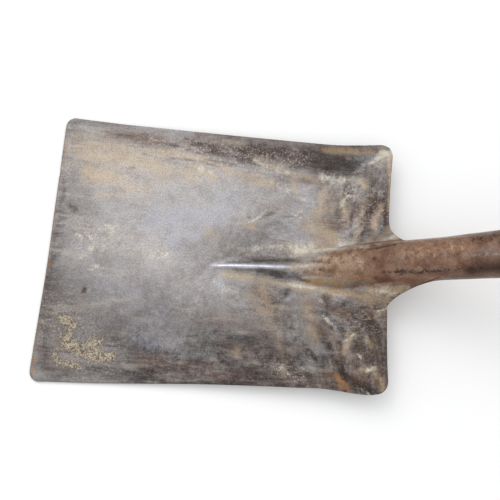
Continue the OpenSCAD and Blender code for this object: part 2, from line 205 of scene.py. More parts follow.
class MeshMaker:
    """Collects vertices and faces in millimetres and makes an object from them."""

    def __init__(self):
        self.points, self.faces, self.count = [], [], 0

    def add(self, points):
        points = np.asarray(points, float).reshape(-1, 3)
        self.points.append(points)
        self.count += len(points)
        return np.arange(self.count - len(points), self.count)

    def grid(self, ids, flip=False):
        a, b, c, d = ids[:-1, :-1], ids[1:, :-1], ids[1:, 1:], ids[:-1, 1:]
        quads = np.stack([a, d, c, b] if flip else [a, b, c, d], -1).reshape(-1, 4)
        self.faces.append(quads)

    def tube(self, rings, flip=False):
        """Quads between closed rings."""
        self.grid(np.array([np.r_[ring, ring[:1]] for ring in rings]), flip)

    def fan(self, ring, flip=False):
        """Closes a ring with triangles round its middle."""
        middle = self.add(np.concatenate(self.points)[ring].mean(0))[0]
        after = np.roll(ring, -1)
        pair = (after, ring) if flip else (ring, after)
        self.faces.append(np.stack([*pair, np.full(len(ring), middle)], -1))

    def bar(self, rings, flip=False):
        """A tube closed at both ends."""
        self.tube(rings, flip)
        self.fan(rings[0], flip)
        self.fan(rings[-1], not flip)

    def build(self, name):
        points = np.concatenate(self.points)
        sizes = np.concatenate([np.full(len(f), f.shape[1]) for f in self.faces])
        corners = np.concatenate([f.ravel() for f in self.faces])
        mesh = bpy.data.meshes.new(name)
        mesh.vertices.add(len(points))
        mesh.vertices.foreach_set("co", (points * MM).ravel())
        mesh.loops.add(len(corners))
        mesh.loops.foreach_set("vertex_index", corners)
        mesh.polygons.add(len(sizes))
        mesh.polygons.foreach_set("loop_start", np.r_[0, np.cumsum(sizes)[:-1]])
        mesh.polygons.foreach_set("loop_total", sizes)
        mesh.update(calc_edges=True)
        shade_smooth(mesh)
        return link(bpy.data.objects.new(name, mesh))


def shade_smooth(mesh):
    mesh.polygons.foreach_set("use_smooth", np.ones(len(mesh.polygons), bool))


def link(ob):
    bpy.context.scene.collection.objects.link(ob)
    return ob


def read_vectors(ob, what):
    """The places ("co") or normals ("normal") of an object's vertices, as Blender holds them."""
    values = np.empty(len(ob.data.vertices) * 3)
    ob.data.vertices.foreach_get(what, values)
    return values.reshape(-1, 3)


def paint(ob, name, values):
    layer = ob.data.attributes.new(name, "FLOAT", "POINT")
    layer.data.foreach_set("value", np.asarray(values, np.float32))


def paint_vector(ob, name, values):
    layer = ob.data.attributes.new(name, "FLOAT_VECTOR", "POINT")
    layer.data.foreach_set("vector", np.asarray(values, np.float32).ravel())


def dress(ob, material):
    ob.data.materials.clear()
    ob.data.materials.append(material)


def finish_piece(ob, node, material):
    dress(ob, material)
    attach(ob, "root")
    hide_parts(node)


# ---------------- the pan's shape


def half_w(x, side):
    """Distance from the pan's middle line to its side: the left for side 1, the right for -1."""
    flare = EAR_FLARE * ease(x, EAR_START, np.where(side > 0, EAR_LEFT, EAR_RIGHT))
    drawn_in = np.where(side > 0, 0, WAIST) * (1 - ease(np.abs(x), 0, WAIST_L))
    return MOUTH_W / 2 + (REAR_W - MOUTH_W) / 2 * (x - MOUTH_X) / BLADE_L + flare - drawn_in


def pan_mid(x):
    """The pan's middle line, a little to the left of the shank and turned."""
    return PAN_OFFSET - PAN_TURN * x / BLADE_L


def mouth_edge(y):
    return MOUTH_X - MOUTH_SKEW * ease(-y, -SKEW_START_Y, -SKEW_END_Y)


def rear_edge(y):
    return REAR_X - REAR_BOW * (1 - np.minimum(1, np.abs(y) / BOW_HALF_W) ** BOW_POWER)


def ramp(u):
    """Height of a wall's cross-section, from 0 at its foot to 1 at its rim."""
    curve = u * u / (2 * WALL_CURVE * (1 - WALL_CURVE / 2))
    return np.where(u <= 0, 0, np.where(u < WALL_CURVE, curve, (u - WALL_CURVE / 2) / (1 - WALL_CURVE / 2)))


def pan_z(x, y):
    """Height of the pan's underside."""
    side_h = RIM_H * (np.maximum(0, x - MOUTH_X - WALL_START) / (BLADE_L - WALL_START)) ** WALL_POWER
    inset = INSET_FRONT + (INSET_REAR - INSET_FRONT) * ease(x, MOUTH_X, INSET_X)
    rim_gap = half_w(x, y - pan_mid(x)) - np.abs(y - pan_mid(x))
    side = side_h * ramp(1 - rim_gap / inset)
    rear = RIM_H * ramp(1 - (rear_edge(y) - x) / REAR_INSET)
    web = ease(x, WEB_X, WEB_X + WEB_L) * (1 - ease(np.abs(y), WEB_IN, WEB_OUT))
    fold = (np.maximum(side, 0) ** FOLD_POWER + np.maximum(rear, 0) ** FOLD_POWER) ** (1 / FOLD_POWER)
    return fold + WEB_LIFT * web


def rib_y(x):
    return -RIB_SKEW * (SHANK_X - x) / (SHANK_X - RIB_FRONT)


def shank_z(x, y, way):
    """Height of the shank's upper (way 1) or lower (-1) side, sloping off steeply beside the shank."""
    axis = SHANK_Z + (x - SHANK_X) * math.tan(LIFT)
    reach = np.sqrt(np.maximum(SHANK_R**2 - y * y, 0)) / math.cos(LIFT)
    return axis + way * (reach - SKIRT_SLOPE * np.maximum(np.abs(y) - SHANK_R, 0))


def pan_top(x, y):
    """Height of the pan's upper side, with the rib and the front of the shank forged into it."""
    sheet = pan_z(x, y) + MOUTH_T + (SHEET_T - MOUTH_T) * ease(x - mouth_edge(y), 0, THIN_L)
    t = np.clip((x - RIB_FRONT) / (RIB_BACK - RIB_FRONT), -0.2, 1.3)
    tip, shoulder, spread = RIB_HALF_WIDTHS
    width = tip + shoulder * ease(t, 0, RIB_SHOULDER_END) + spread * np.maximum(t, 0) ** RIB_SPREAD_POWER
    tip, shoulder, climb = RIB_HEIGHTS
    height = tip + shoulder * ease(t, -0.06, RIB_SHOULDER_END) + climb * np.maximum(t, 0)
    q = np.abs(y - rib_y(x)) / width
    ridge = SHEET_T + height - np.maximum(height, RIB_ROUND_H) * q**RIB_ROUND_POWER
    ridge = ridge - 9 * (1 - ease(x, RIB_FRONT - 14, RIB_FRONT - 4))
    fillet = SHANK_FILLET + FILLET_GROWTH * ease(x, FILLET_START, FILLET_END)
    return soft_max(soft_max(sheet, ridge, RIB_FILLET), shank_z(x, y, 1), fillet)


def pan_bottom(x, y):
    keel = np.maximum(shank_z(x, y, -1), 0)
    return np.maximum(soft_min(pan_z(x, y), keel, KEEL_FILLET), 0)


def waves(x, y):
    """Shallow hammer dents and the slow warp of a used pan, less where the blade is thick."""
    slow, dent = Noise(3), Noise(4)
    calm = 1 - 0.7 * np.exp(-((y / 26) ** 2)) * ease(x, 40, 100)
    return (0.55 * slow(x, y, size=78) + 0.22 * dent(x, y, size=26, octaves=2)) * calm


# ---------------- the blade's mesh


def arc(cx, cy, r, a0, a1):
    """Points about (cx, cy) from one angle to another, in degrees."""
    a = np.radians(np.linspace(a0, a1, ARC_POINTS))
    return np.stack([cx + r * np.cos(a), cy + r * np.sin(a)], 1)


def half_outline(side):
    """The mouth and rear of one half of the pan, from the shank outwards, and its side from mouth to rear."""
    centre_y = SHANK_R * math.sin(EDGE_ANGLE)
    front_y = pan_mid(MOUTH_X) * side + half_w(MOUTH_X, side) - MOUTH_R
    back_y = pan_mid(REAR_X) * side + half_w(REAR_X, side) - CORNER_R
    mouth_arc = arc(MOUTH_X + MOUTH_R, front_y, MOUTH_R, 180, 90)
    mouth_arc[:, 0] += mouth_edge(mouth_arc[:, 1] * side) - MOUTH_X
    rear_arc = arc(REAR_X - CORNER_R, back_y, CORNER_R, 0, 90)
    rear_arc[:, 0] += rear_edge(rear_arc[:, 1]) - REAR_X
    half = len(mouth_arc) // 2
    front = np.linspace(centre_y, front_y, EDGE_POINTS)[:-1]
    mouth = np.r_[np.stack([mouth_edge(front * side), front], 1), mouth_arc[: half + 1]]
    t = np.linspace(1, 0, WEB_POINTS)
    start_y, back_x, power = WEB_LEFT if side > 0 else WEB_RIGHT
    web_y = start_y - t * (start_y - centre_y)
    web_x = rear_edge(web_y) + (back_x - rear_edge(web_y)) * (1 - (1 - t**power) ** (1 / power))
    rim = np.linspace(start_y, back_y, EDGE_POINTS)[1:-1]
    rear = np.r_[np.stack([web_x, web_y], 1), np.stack([rear_edge(rim), rim], 1), rear_arc[: half + 1]]
    xs = np.linspace(MOUTH_X + MOUTH_R + 2, REAR_X - CORNER_R - 2, FLANK_POINTS)
    side_line = np.stack([xs, pan_mid(xs) * side + half_w(xs, side)], 1)
    flank = np.r_[mouth_arc[half:], side_line, rear_arc[: half - 1 : -1]]
    for line in (mouth, rear, flank):
        line[:, 1] *= side
    return mouth, rear, flank


def plan_grid():
    """Plan positions of the grid: rows run from the mouth to the rear, columns from right to left."""
    centre_y = SHANK_R * np.sin(np.linspace(-EDGE_ANGLE, EDGE_ANGLE, CENTRE_COLS + 1))
    mouth_l, rear_l, left = half_outline(1)
    mouth_r, rear_r, right = half_outline(-1)
    out = [along(line, OUT_COLS) for line in (mouth_l, rear_l, mouth_r, rear_r)]
    mouth = np.r_[out[2][:0:-1], np.stack([mouth_edge(centre_y), centre_y], 1), out[0][1:]]
    back_x = np.interp(centre_y, centre_y[[0, -1]], [WEB_RIGHT[1], WEB_LEFT[1]])
    rear = np.r_[out[3][:0:-1], np.stack([back_x, centre_y], 1), out[1][1:]]
    left, right = along(left, ROWS), along(right, ROWS)
    v = np.r_[0, np.cumsum(np.hypot(*np.diff(mouth, axis=0).T))]
    v = (v / v[-1])[None, :, None]
    u = np.linspace(0, 1, ROWS + 1)[:, None, None]
    patch = (1 - v) * right[:, None] + v * left[:, None] + (1 - u) * mouth[None] + u * rear[None]
    front = (1 - u) * (1 - v) * mouth[0] + (1 - u) * v * mouth[-1]
    return patch - (front + u * (1 - v) * rear[0] + u * v * rear[-1])


def perimeter(n_rows, n_cols, first, last):
    """Rows and columns of the grid's edge, from the right of the shank round by the mouth to its left."""
    cells = [(n_rows - 1, j) for j in range(first, -1, -1)]
    cells += [(i, 0) for i in range(n_rows - 2, -1, -1)]
    cells += [(0, j) for j in range(1, n_cols)]
    cells += [(i, n_cols - 1) for i in range(1, n_rows)]
    cells += [(n_rows - 1, j) for j in range(n_cols - 2, last - 1, -1)]
    return np.array(cells).T


def outward(loop):
    """Unit normals of a plan polyline that runs clockwise seen from above, with its outside on the left."""
    d = np.gradient(loop, axis=0)
    n = np.stack([-d[:, 1], d[:, 0]], 1)
    return n / np.maximum(np.hypot(n[:, 0], n[:, 1]), 1e-9)[:, None]


def wear(outline):
    """How far the rim has worn in at each point, deepest and most uneven at the mouth."""
    nick = Noise(21)
    x, y = outline.T
    worn = np.maximum(nick(x, y, size=9, octaves=3) - 0.25, 0) * 1.3 + 0.35 * (1 + nick(x, y, size=60))
    return worn * (0.25 + 0.75 * (1 - ease(x - mouth_edge(y), 0, 8)))


def socket_r(s):
    return np.interp(s, [0, CONE_L, SOCKET_L], [SHANK_R, CONE_R, SOCKET_R])


def on_axis(s, angle, r):
    """Points round the socket's axis: angle 0 is the top, and it grows to the left."""
    side, out = r * np.sin(angle), r * np.cos(angle)
    x = SHANK_X + s * math.cos(LIFT) - out * math.sin(LIFT)
    z = SHANK_Z + s * math.sin(LIFT) + out * math.cos(LIFT)
    return np.stack([x, side, z], -1)


def tube_skin(s, angle):
    """Radius of the socket's skin, with forging marks, a lip and the seam underneath."""
    uneven = Noise(11)
    r = socket_r(s) + 0.16 * uneven(s, 20 * np.sin(angle), 20 * np.cos(angle), size=14, octaves=2)
    from_seam = np.abs(angle % (2 * math.pi) - math.pi) * r
    wander = np.abs(0.5 * uneven(s, 0, 0, size=40))
    seam = np.exp(-(((from_seam - wander) / SEAM_HALF_W) ** 2)) * ease(s, SEAM_START, SEAM_END)
    from_side = (np.abs(np.sin(angle)) - 1) * r
    pinch = sum(np.exp(-(((s - at) / PINCH_L) ** 2 + (from_side / PINCH_HALF_W) ** 2)) for at in RIVETS_S)
    lip = ease(s, SOCKET_L - LIP_L, SOCKET_L)
    return r - SEAM_DEPTH * seam - PINCH_DEPTH * pinch - LIP_DROP * lip**2


def socket_rings(maker, ring, angles):
    """Rings of the shank and socket from the pan's own ring, over the lip and down the bore."""
    start = np.concatenate(maker.points)[ring]
    s0 = (start[:, 0] - SHANK_X + SHANK_R * np.cos(angles) * math.sin(LIFT)) / math.cos(LIFT)
    ideal = on_axis(s0, angles, tube_skin(s0, angles))
    rings = [ring]
    for m in range(1, BLEND_RINGS + 1):
        w = m / BLEND_RINGS
        s = s0 + (BLEND_END - s0) * w
        rings.append(maker.add(on_axis(s, angles, tube_skin(s, angles)) + (start - ideal) * (1 - w) ** 2))
    lip = SOCKET_L - LIP_L
    outer = np.r_[np.linspace(BLEND_END, lip, OUTER_RINGS)[1:], lip + LIP_L * np.array(LIP_STEPS)]
    rows = [(s, tube_skin(s, angles)) for s in outer]
    rows += [(SOCKET_L + past, BORE_END_R + wider) for past, wider in BORE_MOUTH]
    for s in np.linspace(SOCKET_L - 20, BORE_START, BORE_RINGS):
        rows.append((s, BORE_R + (BORE_END_R - BORE_R) * (s - BORE_START) / (SOCKET_L - BORE_START)))
    rows.append((BORE_START, CONE_TIP_R))
    return rings + [maker.add(on_axis(s, angles, r)) for s, r in rows]


def make_blade():
    plan = plan_grid()
    n_rows, n_cols = plan.shape[:2]
    first, last = OUT_COLS, OUT_COLS + CENTRE_COLS
    edge = tuple(perimeter(n_rows, n_cols, first, last))
    outline = plan[edge].copy()
    normal = outward(outline)
    outline -= normal * wear(outline)[:, None]
    plan[edge] = outline - normal * RIM_IN
    x, y = plan[..., 0], plan[..., 1]
    wave = waves(x, y)
    low_z = np.maximum(pan_bottom(x, y) + wave, 0)
    top_z = np.maximum(pan_top(x, y) + wave, low_z + THINNEST)
    maker = MeshMaker()
    top = maker.add(np.stack([x, y, top_z], -1)).reshape(n_rows, n_cols)
    low = maker.add(np.stack([x, y, low_z], -1)).reshape(n_rows, n_cols)
    maker.grid(top)
    maker.grid(low, flip=True)
    high, deep = top_z[edge], low_z[edge]
    strips = [top[edge]]
    for out, share in RIM_STRIPS:
        spot = plan[edge] + normal * (RIM_IN * out)
        strips.append(maker.add(np.column_stack([spot, deep + (high - deep) * share])))
    strips.append(low[edge])
    maker.grid(np.array(strips), flip=True)
    # The socket's first ring: over the top from right to left, down, and back underneath
    over, below = top[-1, first : last + 1], low[-1, first : last + 1][::-1]
    ring = np.r_[over, [s[-1] for s in strips[1:4]], below, [s[0] for s in strips[3:0:-1]]]
    tops = np.linspace(-EDGE_ANGLE, EDGE_ANGLE, CENTRE_COLS + 1)
    sides = np.linspace(EDGE_ANGLE, math.pi - EDGE_ANGLE, 5)[1:-1]
    angles = np.unwrap(np.r_[tops, sides, math.pi - tops[::-1], sides + math.pi])
    rings = socket_rings(maker, ring, angles)
    maker.tube(rings)
    maker.fan(rings[-1], flip=True)
    return maker.build("blade_finish")


# ---------------- the blade's marks

# Stains on the upper side of the pan: strokes (x0, y0, x1, y1, half width, strength) in mm from the origin
PAN_MARKS = {
    # Yellow-brown haze of old clay
    "tan": [
        (-128, 92, -60, 84, 20, 0.75), (-122, 72, -90, 66, 10, 0.95), (-94, 60, -68, 58, 5, 0.85),
        (-112, 51, -92, 49, 5, 0.6), (-60, 97, -22, 92, 5, 0.9), (-75, 84, -32, 76, 9, 0.85),
        (-30, 84, -12, 78, 5, 1.0), (-20, 90, 0, 88, 3, 0.9), (0, 84, 28, 76, 6, 0.8),
        (28, 78, 40, 74, 6, 0.95), (-14, 24, -6, 18, 6, 0.6), (24, 97, 48, 90, 4, 0.75),
        (66, -3, 104, 0, 6, 1.0), (74, -12, 112, -16, 5, 1.0), (72, 9, 108, 11, 5, 0.95),
        (52, 88, 78, 82, 5, 0.6), (58, 80, 64, 66, 3, 0.8), (84, 46, 90, 74, 4.5, 0.9),
        (88, 66, 94, 54, 4, 0.8), (80, 40, 96, 26, 11, 0.75), (20, 34, 28, 32, 4, 0.8),
        (84, 20, 104, 12, 9, 0.9), (60, 14, 84, 14, 6, 0.8), (112, 20, 120, 14, 5, 0.9),
        (104, 66, 112, 42, 2.5, 0.6), (112, 22, 121, 36, 2.6, 0.8), (122, 19, 133, 32, 3, 1.0),
        (133, 32, 137, 56, 3.0, 0.75), (128, 16, 150, 22, 5, 1.0), (136, 22, 146, 34, 5, 0.9),
        (104, 16, 116, 22, 4, 0.9), (110, -24, 132, -30, 4, 1.0), (126, -22, 156, -24, 6, 0.95),
        (136, -28, 148, -36, 4, 0.8), (121, 36, 123, 62, 2.4, 0.6), (118, 84, 124, 76, 3, 0.8),
        (136, 108, 144, 104, 4, 0.8), (143, 102, 144, 52, 2.4, 0.9), (88, 106, 126, 108, 4, 0.85),
        (-6, 112, 16, 110, 2, 0.5), (40, -24, 50, -42, 7, 0.6), (30, -30, 52, -60, 8, 0.4),
        (76, -34, 88, -62, 7, 0.6), (56, -62, 60, -84, 3, 0.5), (18, -82, 20, -79, 4, 0.6),
        (112, -76, 118, -62, 3.5, 0.75), (114, -60, 122, -62, 2.5, 0.7), (130, -62, 134, -72, 2, 0.6),
        (136, -44, 146, -36, 2, 0.55), (128, -88, 136, -92, 4, 0.75), (136, -92, 140, -98, 3, 0.6),
        (142, -102, 142, -107, 2.5, 0.7), (60, -90, 62, -100, 3, 0.6), (92, -92, 100, -100, 3, 0.5),
        (4, -14, 30, -14, 3.5, 0.9), (38, -16, 60, -20, 4, 0.8), (60, -19, 112, -22, 4.5, 1.0),
        (100, -20, 118, -24, 3.5, 0.9), (118, -28, 132, -34, 3, 0.7), (108, -26, 114, -28, 3, 0.7),
        (122, -24, 142, -30, 4, 0.7),
    ],
    # Brown film over the steel
    "brown": [
        (144, -24, 178, -21, 7, 0.8), (112, -22, 140, -24, 4, 0.4), (-30, 117, 80, 114, 4, 0.9),
        (-24, 106, 80, 103, 12, 1.0), (-110, 110, -20, 106, 9, 0.85), (100, 104, 134, 108, 8, 0.7),
        (90, 34, 110, 56, 16, 0.7), (118, 60, 144, 56, 14, 0.5), (134, 80, 146, 92, 10, 0.6),
        (76, 34, 92, 24, 11, 0.6), (30, 32, 10, 34, 7, 0.5), (46, 78, 84, 84, 7, 0.6),
        (38, -26, 52, -46, 12, 0.8), (74, -28, 90, -60, 12, 0.75), (0, -52, 40, -60, 12, 0.6),
        (12, -84, 60, -78, 12, 0.6), (96, -30, 108, -44, 9, 0.85), (120, -34, 144, -60, 14, 0.6),
        (110, -60, 142, -84, 14, 0.45), (-60, -94, 10, -102, 9, 0.7), (20, -100, 110, -104, 10, 0.7),
        (120, -96, 142, -100, 9, 0.8), (-140, -66, -126, -90, 10, 0.4), (-144, -92, -134, -106, 7, 0.7),
        (-40, -62, 0, -56, 8, 0.35), (74, -3, 108, 0, 6, 0.5), (84, -14, 116, -16, 5, 0.4),
        (-8, 26, 8, 14, 8, 0.4), (40, 50, 56, 56, 7, 0.5),
    ],
    # Thin cream crust
    "cream": [
        (-124, 12, -114, 8, 7, 0.55), (-118, -4, -106, 2, 9, 0.55), (-104, 20, -88, 18, 8, 0.45),
        (-60, -2, -44, 2, 9, 0.45), (-112, -14, -104, -18, 7, 0.4), (-24, 82, -14, 80, 3, 0.9),
        (22, 96, 36, 91, 2.5, 0.75), (38, 89, 56, 86, 3, 0.55), (42, 76, 56, 70, 6, 0.5),
        (84, 86, 106, 82, 4, 0.75), (88, 82, 100, 80, 3, 0.7), (104, 86, 114, 80, 3, 0.6),
        (62, 60, 76, 64, 3, 0.5), (66, 50, 70, 51, 1.6, 0.8), (64, 46, 70, 45, 1.2, 0.8),
        (22, 35, 34, 42, 1.2, 0.65), (6, 12, 50, 14, 4, 0.45), (50, 15, 84, 18, 5, 0.62),
        (68, 13, 112, 12, 5, 0.95), (34, 44, 40, 50, 1.2, 0.5), (29, 39, 32, 42, 1.2, 0.8),
        (62, 12, 76, 16, 4, 0.6), (114, 16, 124, 13, 3.5, 0.9), (136, 17, 146, 24, 3, 0.7),
        (130, -24, 150, -26, 3, 0.7), (120, 97, 129, 100, 1.3, 0.7), (128, 100, 138, 106, 2.2, 1.0),
        (136, 106, 144, 107, 4, 0.95), (134, 97, 142, 103, 2.5, 0.4), (104, 60, 116, 74, 4, 0.5),
        (64, -30, 58, -44, 2, 0.4), (58, -94, 64, -92, 2.5, 0.6), (64, -97, 67, -100, 1.5, 0.6),
        (92, -44, 100, -50, 1.6, 0.8), (90, -30, 94, -34, 2, 0.6), (112, -66, 120, -60, 2, 0.6),
        (84, 4, 108, 6, 3, 0.7), (82, -13, 112, -17, 3.5, 0.6), (60, -18, 84, -20, 2, 0.8),
        (124, -76, 128, -80, 1.5, 0.6), (130, -90, 136, -88, 2, 0.9), (124, -106, 132, -112, 1.5, 0.7),
        (96, -22, 110, -24, 2, 0.6), (-4, -20, 6, -28, 5, 0.5), (76, -90, 84, -94, 2, 0.5),
        (138, -40, 146, -36, 1.2, 0.6),
    ],
    # Black and purple-brown fire scale, and painted shade: the long thin strokes beside the rib, from x = 0
    # to 84, are painted shade along its flanks
    "scale_and_shade": [
        (-120, 114, -60, 106, 5, 0.45), (-78, 108, -52, 104, 1.6, 0.75), (-54, 105, -16, 97, 2.2, 0.85),
        (-40, 112, -8, 104, 2, 0.7), (-112, 112, -72, 105, 2.6, 0.55), (-84, 103, -52, 100, 2, 0.5),
        (-78, 93, -50, 91, 1.6, 0.55), (-50, 91, -8, 87, 1.8, 0.6), (-20, 92, 6, 90, 2.2, 0.7),
        (-20, 101, 30, 94, 3.5, 0.85), (-44, 109, 0, 105, 3, 0.65), (0, 104, 40, 100, 5, 0.8),
        (20, 107, 80, 102, 7, 0.9), (70, 98, 112, 96, 7, 1.0), (84, 100, 100, 94, 8, 1.0),
        (44, 104, 64, 96, 6, 0.8), (60, 92, 84, 90, 3.5, 0.7), (100, 92, 120, 94, 5, 0.6),
        (122, 92, 138, 74, 6, 0.7), (-134, 40, -131, 34, 4, 0.7), (-113.5, -36, -114, -38, 1.7, 1.3),
        (-142, 60, -144, -40, 4, 0.55), (-140, 30, -140, -30, 6, 0.4), (-142, -60, -140, -104, 8, 0.5),
        (-130, -110, -60, -106, 9, 0.45), (-138, -104, -120, -116, 8, 0.45), (-84, -82, -40, -88, 9, 0.4),
        (-80, -110, 40, -108, 6, 0.55), (-60, -100, -20, -104, 6, 0.6), (-40, -112, 60, -110, 3, 0.9),
        (-20, -90, 0, -96, 6, 0.5), (0, -72, 50, -70, 10, 0.6), (20, -96, 60, -104, 9, 0.75),
        (44, -84, 70, -80, 8, 0.6), (52, -44, 60, -24, 4, 0.75), (48, -34, 54, -38, 4, 0.8),
        (62, -36, 66, -56, 5, 0.6), (60, -70, 72, -104, 6, 0.7), (80, -96, 88, -106, 5, 0.8),
        (94, -26, 96, -44, 4, 0.85), (100, -40, 112, -30, 5, 0.6), (92, -56, 100, -70, 5, 0.7),
        (96, -80, 108, -86, 6, 0.75), (104, -50, 118, -52, 4, 0.5), (110, -90, 132, -108, 6, 0.8),
        (122, -84, 126, -60, 4, 0.6), (118, -40, 140, -56, 6, 0.75), (138, -60, 146, -90, 4, 0.75),
        (138, -76, 140, -84, 4, 0.7), (92, 62, 96, 40, 4, 0.45), (101, 46, 104, 66, 3.5, 0.6),
        (98, 38, 110, 34, 5, 0.5), (112, 30, 117, 62, 3, 0.7), (120, 24, 128, 40, 2.4, 0.7),
        (128, 40, 131, 66, 2.6, 0.7), (128, 28, 136, 20, 3, 0.5), (142, 60, 144, 38, 3, 0.8),
        (138, 70, 141, 46, 4, 0.55), (68, 80, 84, 77, 4, 0.4), (66, 58, 72, 42, 5, 0.3),
        (34, 41, 50, 50, 3, 0.6), (40, 36, 60, 44, 7, 0.4), (20, 46, 24, 40, 2, 0.6),
        (38, 22, 58, 18, 6, 0.4), (0, 12, 20, 6, 7, 0.55), (20, 4, 84, 4, 3, 0.65),
        (30, 1, 78, 2, 1.5, 0.8), (62, 3, 84, 0, 2.6, 0.9), (110, 12, 112, 18, 2, 0.85),
        (122, 12, 130, 22, 2, 0.7), (128, 9, 148, 12, 1.6, 0.95), (34, -8, 70, -11, 3.6, 0.9),
        (70, -13, 80, -14, 2, 0.9), (0, -9, 40, -8, 1.6, 0.7), (116, -8, 124, -6, 2, 0.3),
        (148, -38, 158, -33, 3.6, 0.75), (158, -32, 180, -22, 4.2, 0.75), (128, -40, 144, -36, 2.0, 0.5),
    ],
    # Orange rust
    "rust": [
        (144, -25, 172, -22, 4, 0.45), (140, -33, 148, -32, 3, 0.5), (104, -20, 140, -22, 3, 0.5),
        (-147.5, 100, -147, 72, 1.3, 0.55), (-147, 60, -147, 30, 1.2, 0.3),
        (-147.5, -14, -147, -18, 2, 0.8), (-149, -100, -147, -110, 3, 0.6), (-149, -84, -148, -78, 2, 0.4),
        (-88, 78, -82, 78, 1.2, 0.8), (-114.5, -41, -116, -50, 1.5, 0.75), (-117, -51, -120, -57, 1.4, 0.6),
        (106, -97, 112, -104, 4.2, 1.0), (108, -104, 114, -107, 3, 0.9), (84, 107, 128, 110, 3, 0.55),
        (78, -13, 118, -17, 5, 0.95), (96, -22, 120, -24, 4, 0.5), (24, -82, 12, -80, 3, 0.3),
        (78, 34, 92, 30, 9, 0.35), (4, 56, 20, 62, 6, 0.25), (46, -30, 44, -44, 6, 0.3),
        (98, -40, 104, -34, 4, 0.35), (90, -98, 96, -94, 3, 0.3), (-12, 18, 0, 30, 6, 0.25),
    ],
    # Painted blue-grey sheen and highlights, standing in for soft reflections of the light
    "painted_sheen": [
        (-60, 30, 0, 44, 16, 0.75), (-40, 12, -24, 24, 10, 0.8), (-96, 30, -60, 40, 14, 0.35),
        (-20, 56, 20, 62, 9, 0.5), (4, 50, 12, 54, 4, 0.6), (-90, -30, -40, -60, 20, 0.35),
        (-70, -74, -36, -78, 9, 0.5), (0, -24, 2, -20, 3, 0.9), (-8, -12, 0, -26, 8, 0.5),
        (54, 34, 76, 24, 12, 0.35), (60, 64, 84, 66, 8, 0.3), (110, 99, 130, 106, 3, 0.55),
        (118, 98, 130, 104, 3, 0.6), (56, -32, 66, -28, 4, 0.6), (104, -52, 118, -52, 5, 0.35),
        (92, -70, 100, -78, 4, 0.4), (80, 58, 70, 54, 4, 0.35),
    ],
    # Loose crust near the mouth
    "scab": [
        (-128, -64, -121, -68, 4.5, 0.9), (-122, -68, -124, -82, 6, 1.0), (-124, -82, -110, -90, 7, 1.0),
        (-110, -89, -92, -95, 8, 1.0), (-92, -95, -85, -92, 5, 0.9), (-106, -84, -96, -80, 7, 0.85),
        (-102, -76, -94, -79, 4, 0.8), (-122, -72, -114, -70, 3, 0.6), (-132, -92, -128, -100, 4, 1.0),
        (-128, -101, -112, -103, 4.5, 1.0), (-114, -92, -116, -99, 4, 0.5),
        (-106, -54, -108, -56, 1.8, 0.7), (-84, -76, -83, -77, 1.5, 0.6), (-116, -107, -112, -108, 1, 0.7),
        (-98, -105, -94, -106, 1, 0.6),
    ],
}

# Tone of the steel at a few places (x, y, tone), from 0 for the darkest to 1 for the palest, and how far each
# reaches.
# Part of it is painted light: the pale tones over the middle of the pan hold a painted sheen, and the low
# tone in front of the rib's tip, to its left, is painted shade.
TONE_REACH = 15.0
TONES = [
    (-138, 108, 0.5), (-120, 88, 0.6), (-80, 80, 0.95), (-40, 86, 0.9), (0, 70, 0.95), (-100, 60, 0.85),
    (-142, 60, 0.45), (-142, 20, 0.35), (-128, 34, 0.55), (-112, 2, 0.85), (-80, 32, 0.85), (-40, 36, 0.95),
    (0, 46, 0.95), (40, 62, 0.8), (66, 62, 0.78), (104, 46, 0.25), (132, 60, 0.0), (128, 96, 0.55),
    (60, 26, 0.68), (96, 20, 1.0), (118, 14, 0.8), (-50, 2, 1.0), (-10, -22, 0.85), (-90, -18, 0.78),
    (-112, -45, 0.35), (-142, -40, 0.18), (-60, -38, 0.55), (-20, -52, 0.42), (14, -34, 0.65),
    (44, -46, 0.45), (82, -46, 0.5), (110, -50, 0.14), (136, -60, -0.12), (-138, -100, 0.42),
    (-100, -104, 0.42), (-60, -74, 0.25), (-50, -96, 0.15), (-30, -110, 0.24), (0, -76, 0.25),
    (0, -102, 0.05), (50, -90, 0.12), (92, -92, 0.1), (130, -100, 0.1), (-60, 112, 0.7), (-92, 110, 0.56),
    (-10, 108, 0.62), (30, 90, 0.6), (40, 110, 0.66), (102, 99, 0.0), (104, 109, 0.2), (104, 86, 0.45),
    (100, 70, 0.8), (80, 50, 1.05), (-100, -30, 0.4), (132, -26, 0.0), (80, 108, 0.35), (20, 8, 0.5),
    (90, -18, 1.1), (116, -17, 0.95), (108, -32, 0.25), (98, 10, 1.15), (-22, 8, 0.66), (120, 34, 0.15),
    (-106, -30, 0.5), (84, -72, 0.36), (50, -8, 0.35),
]

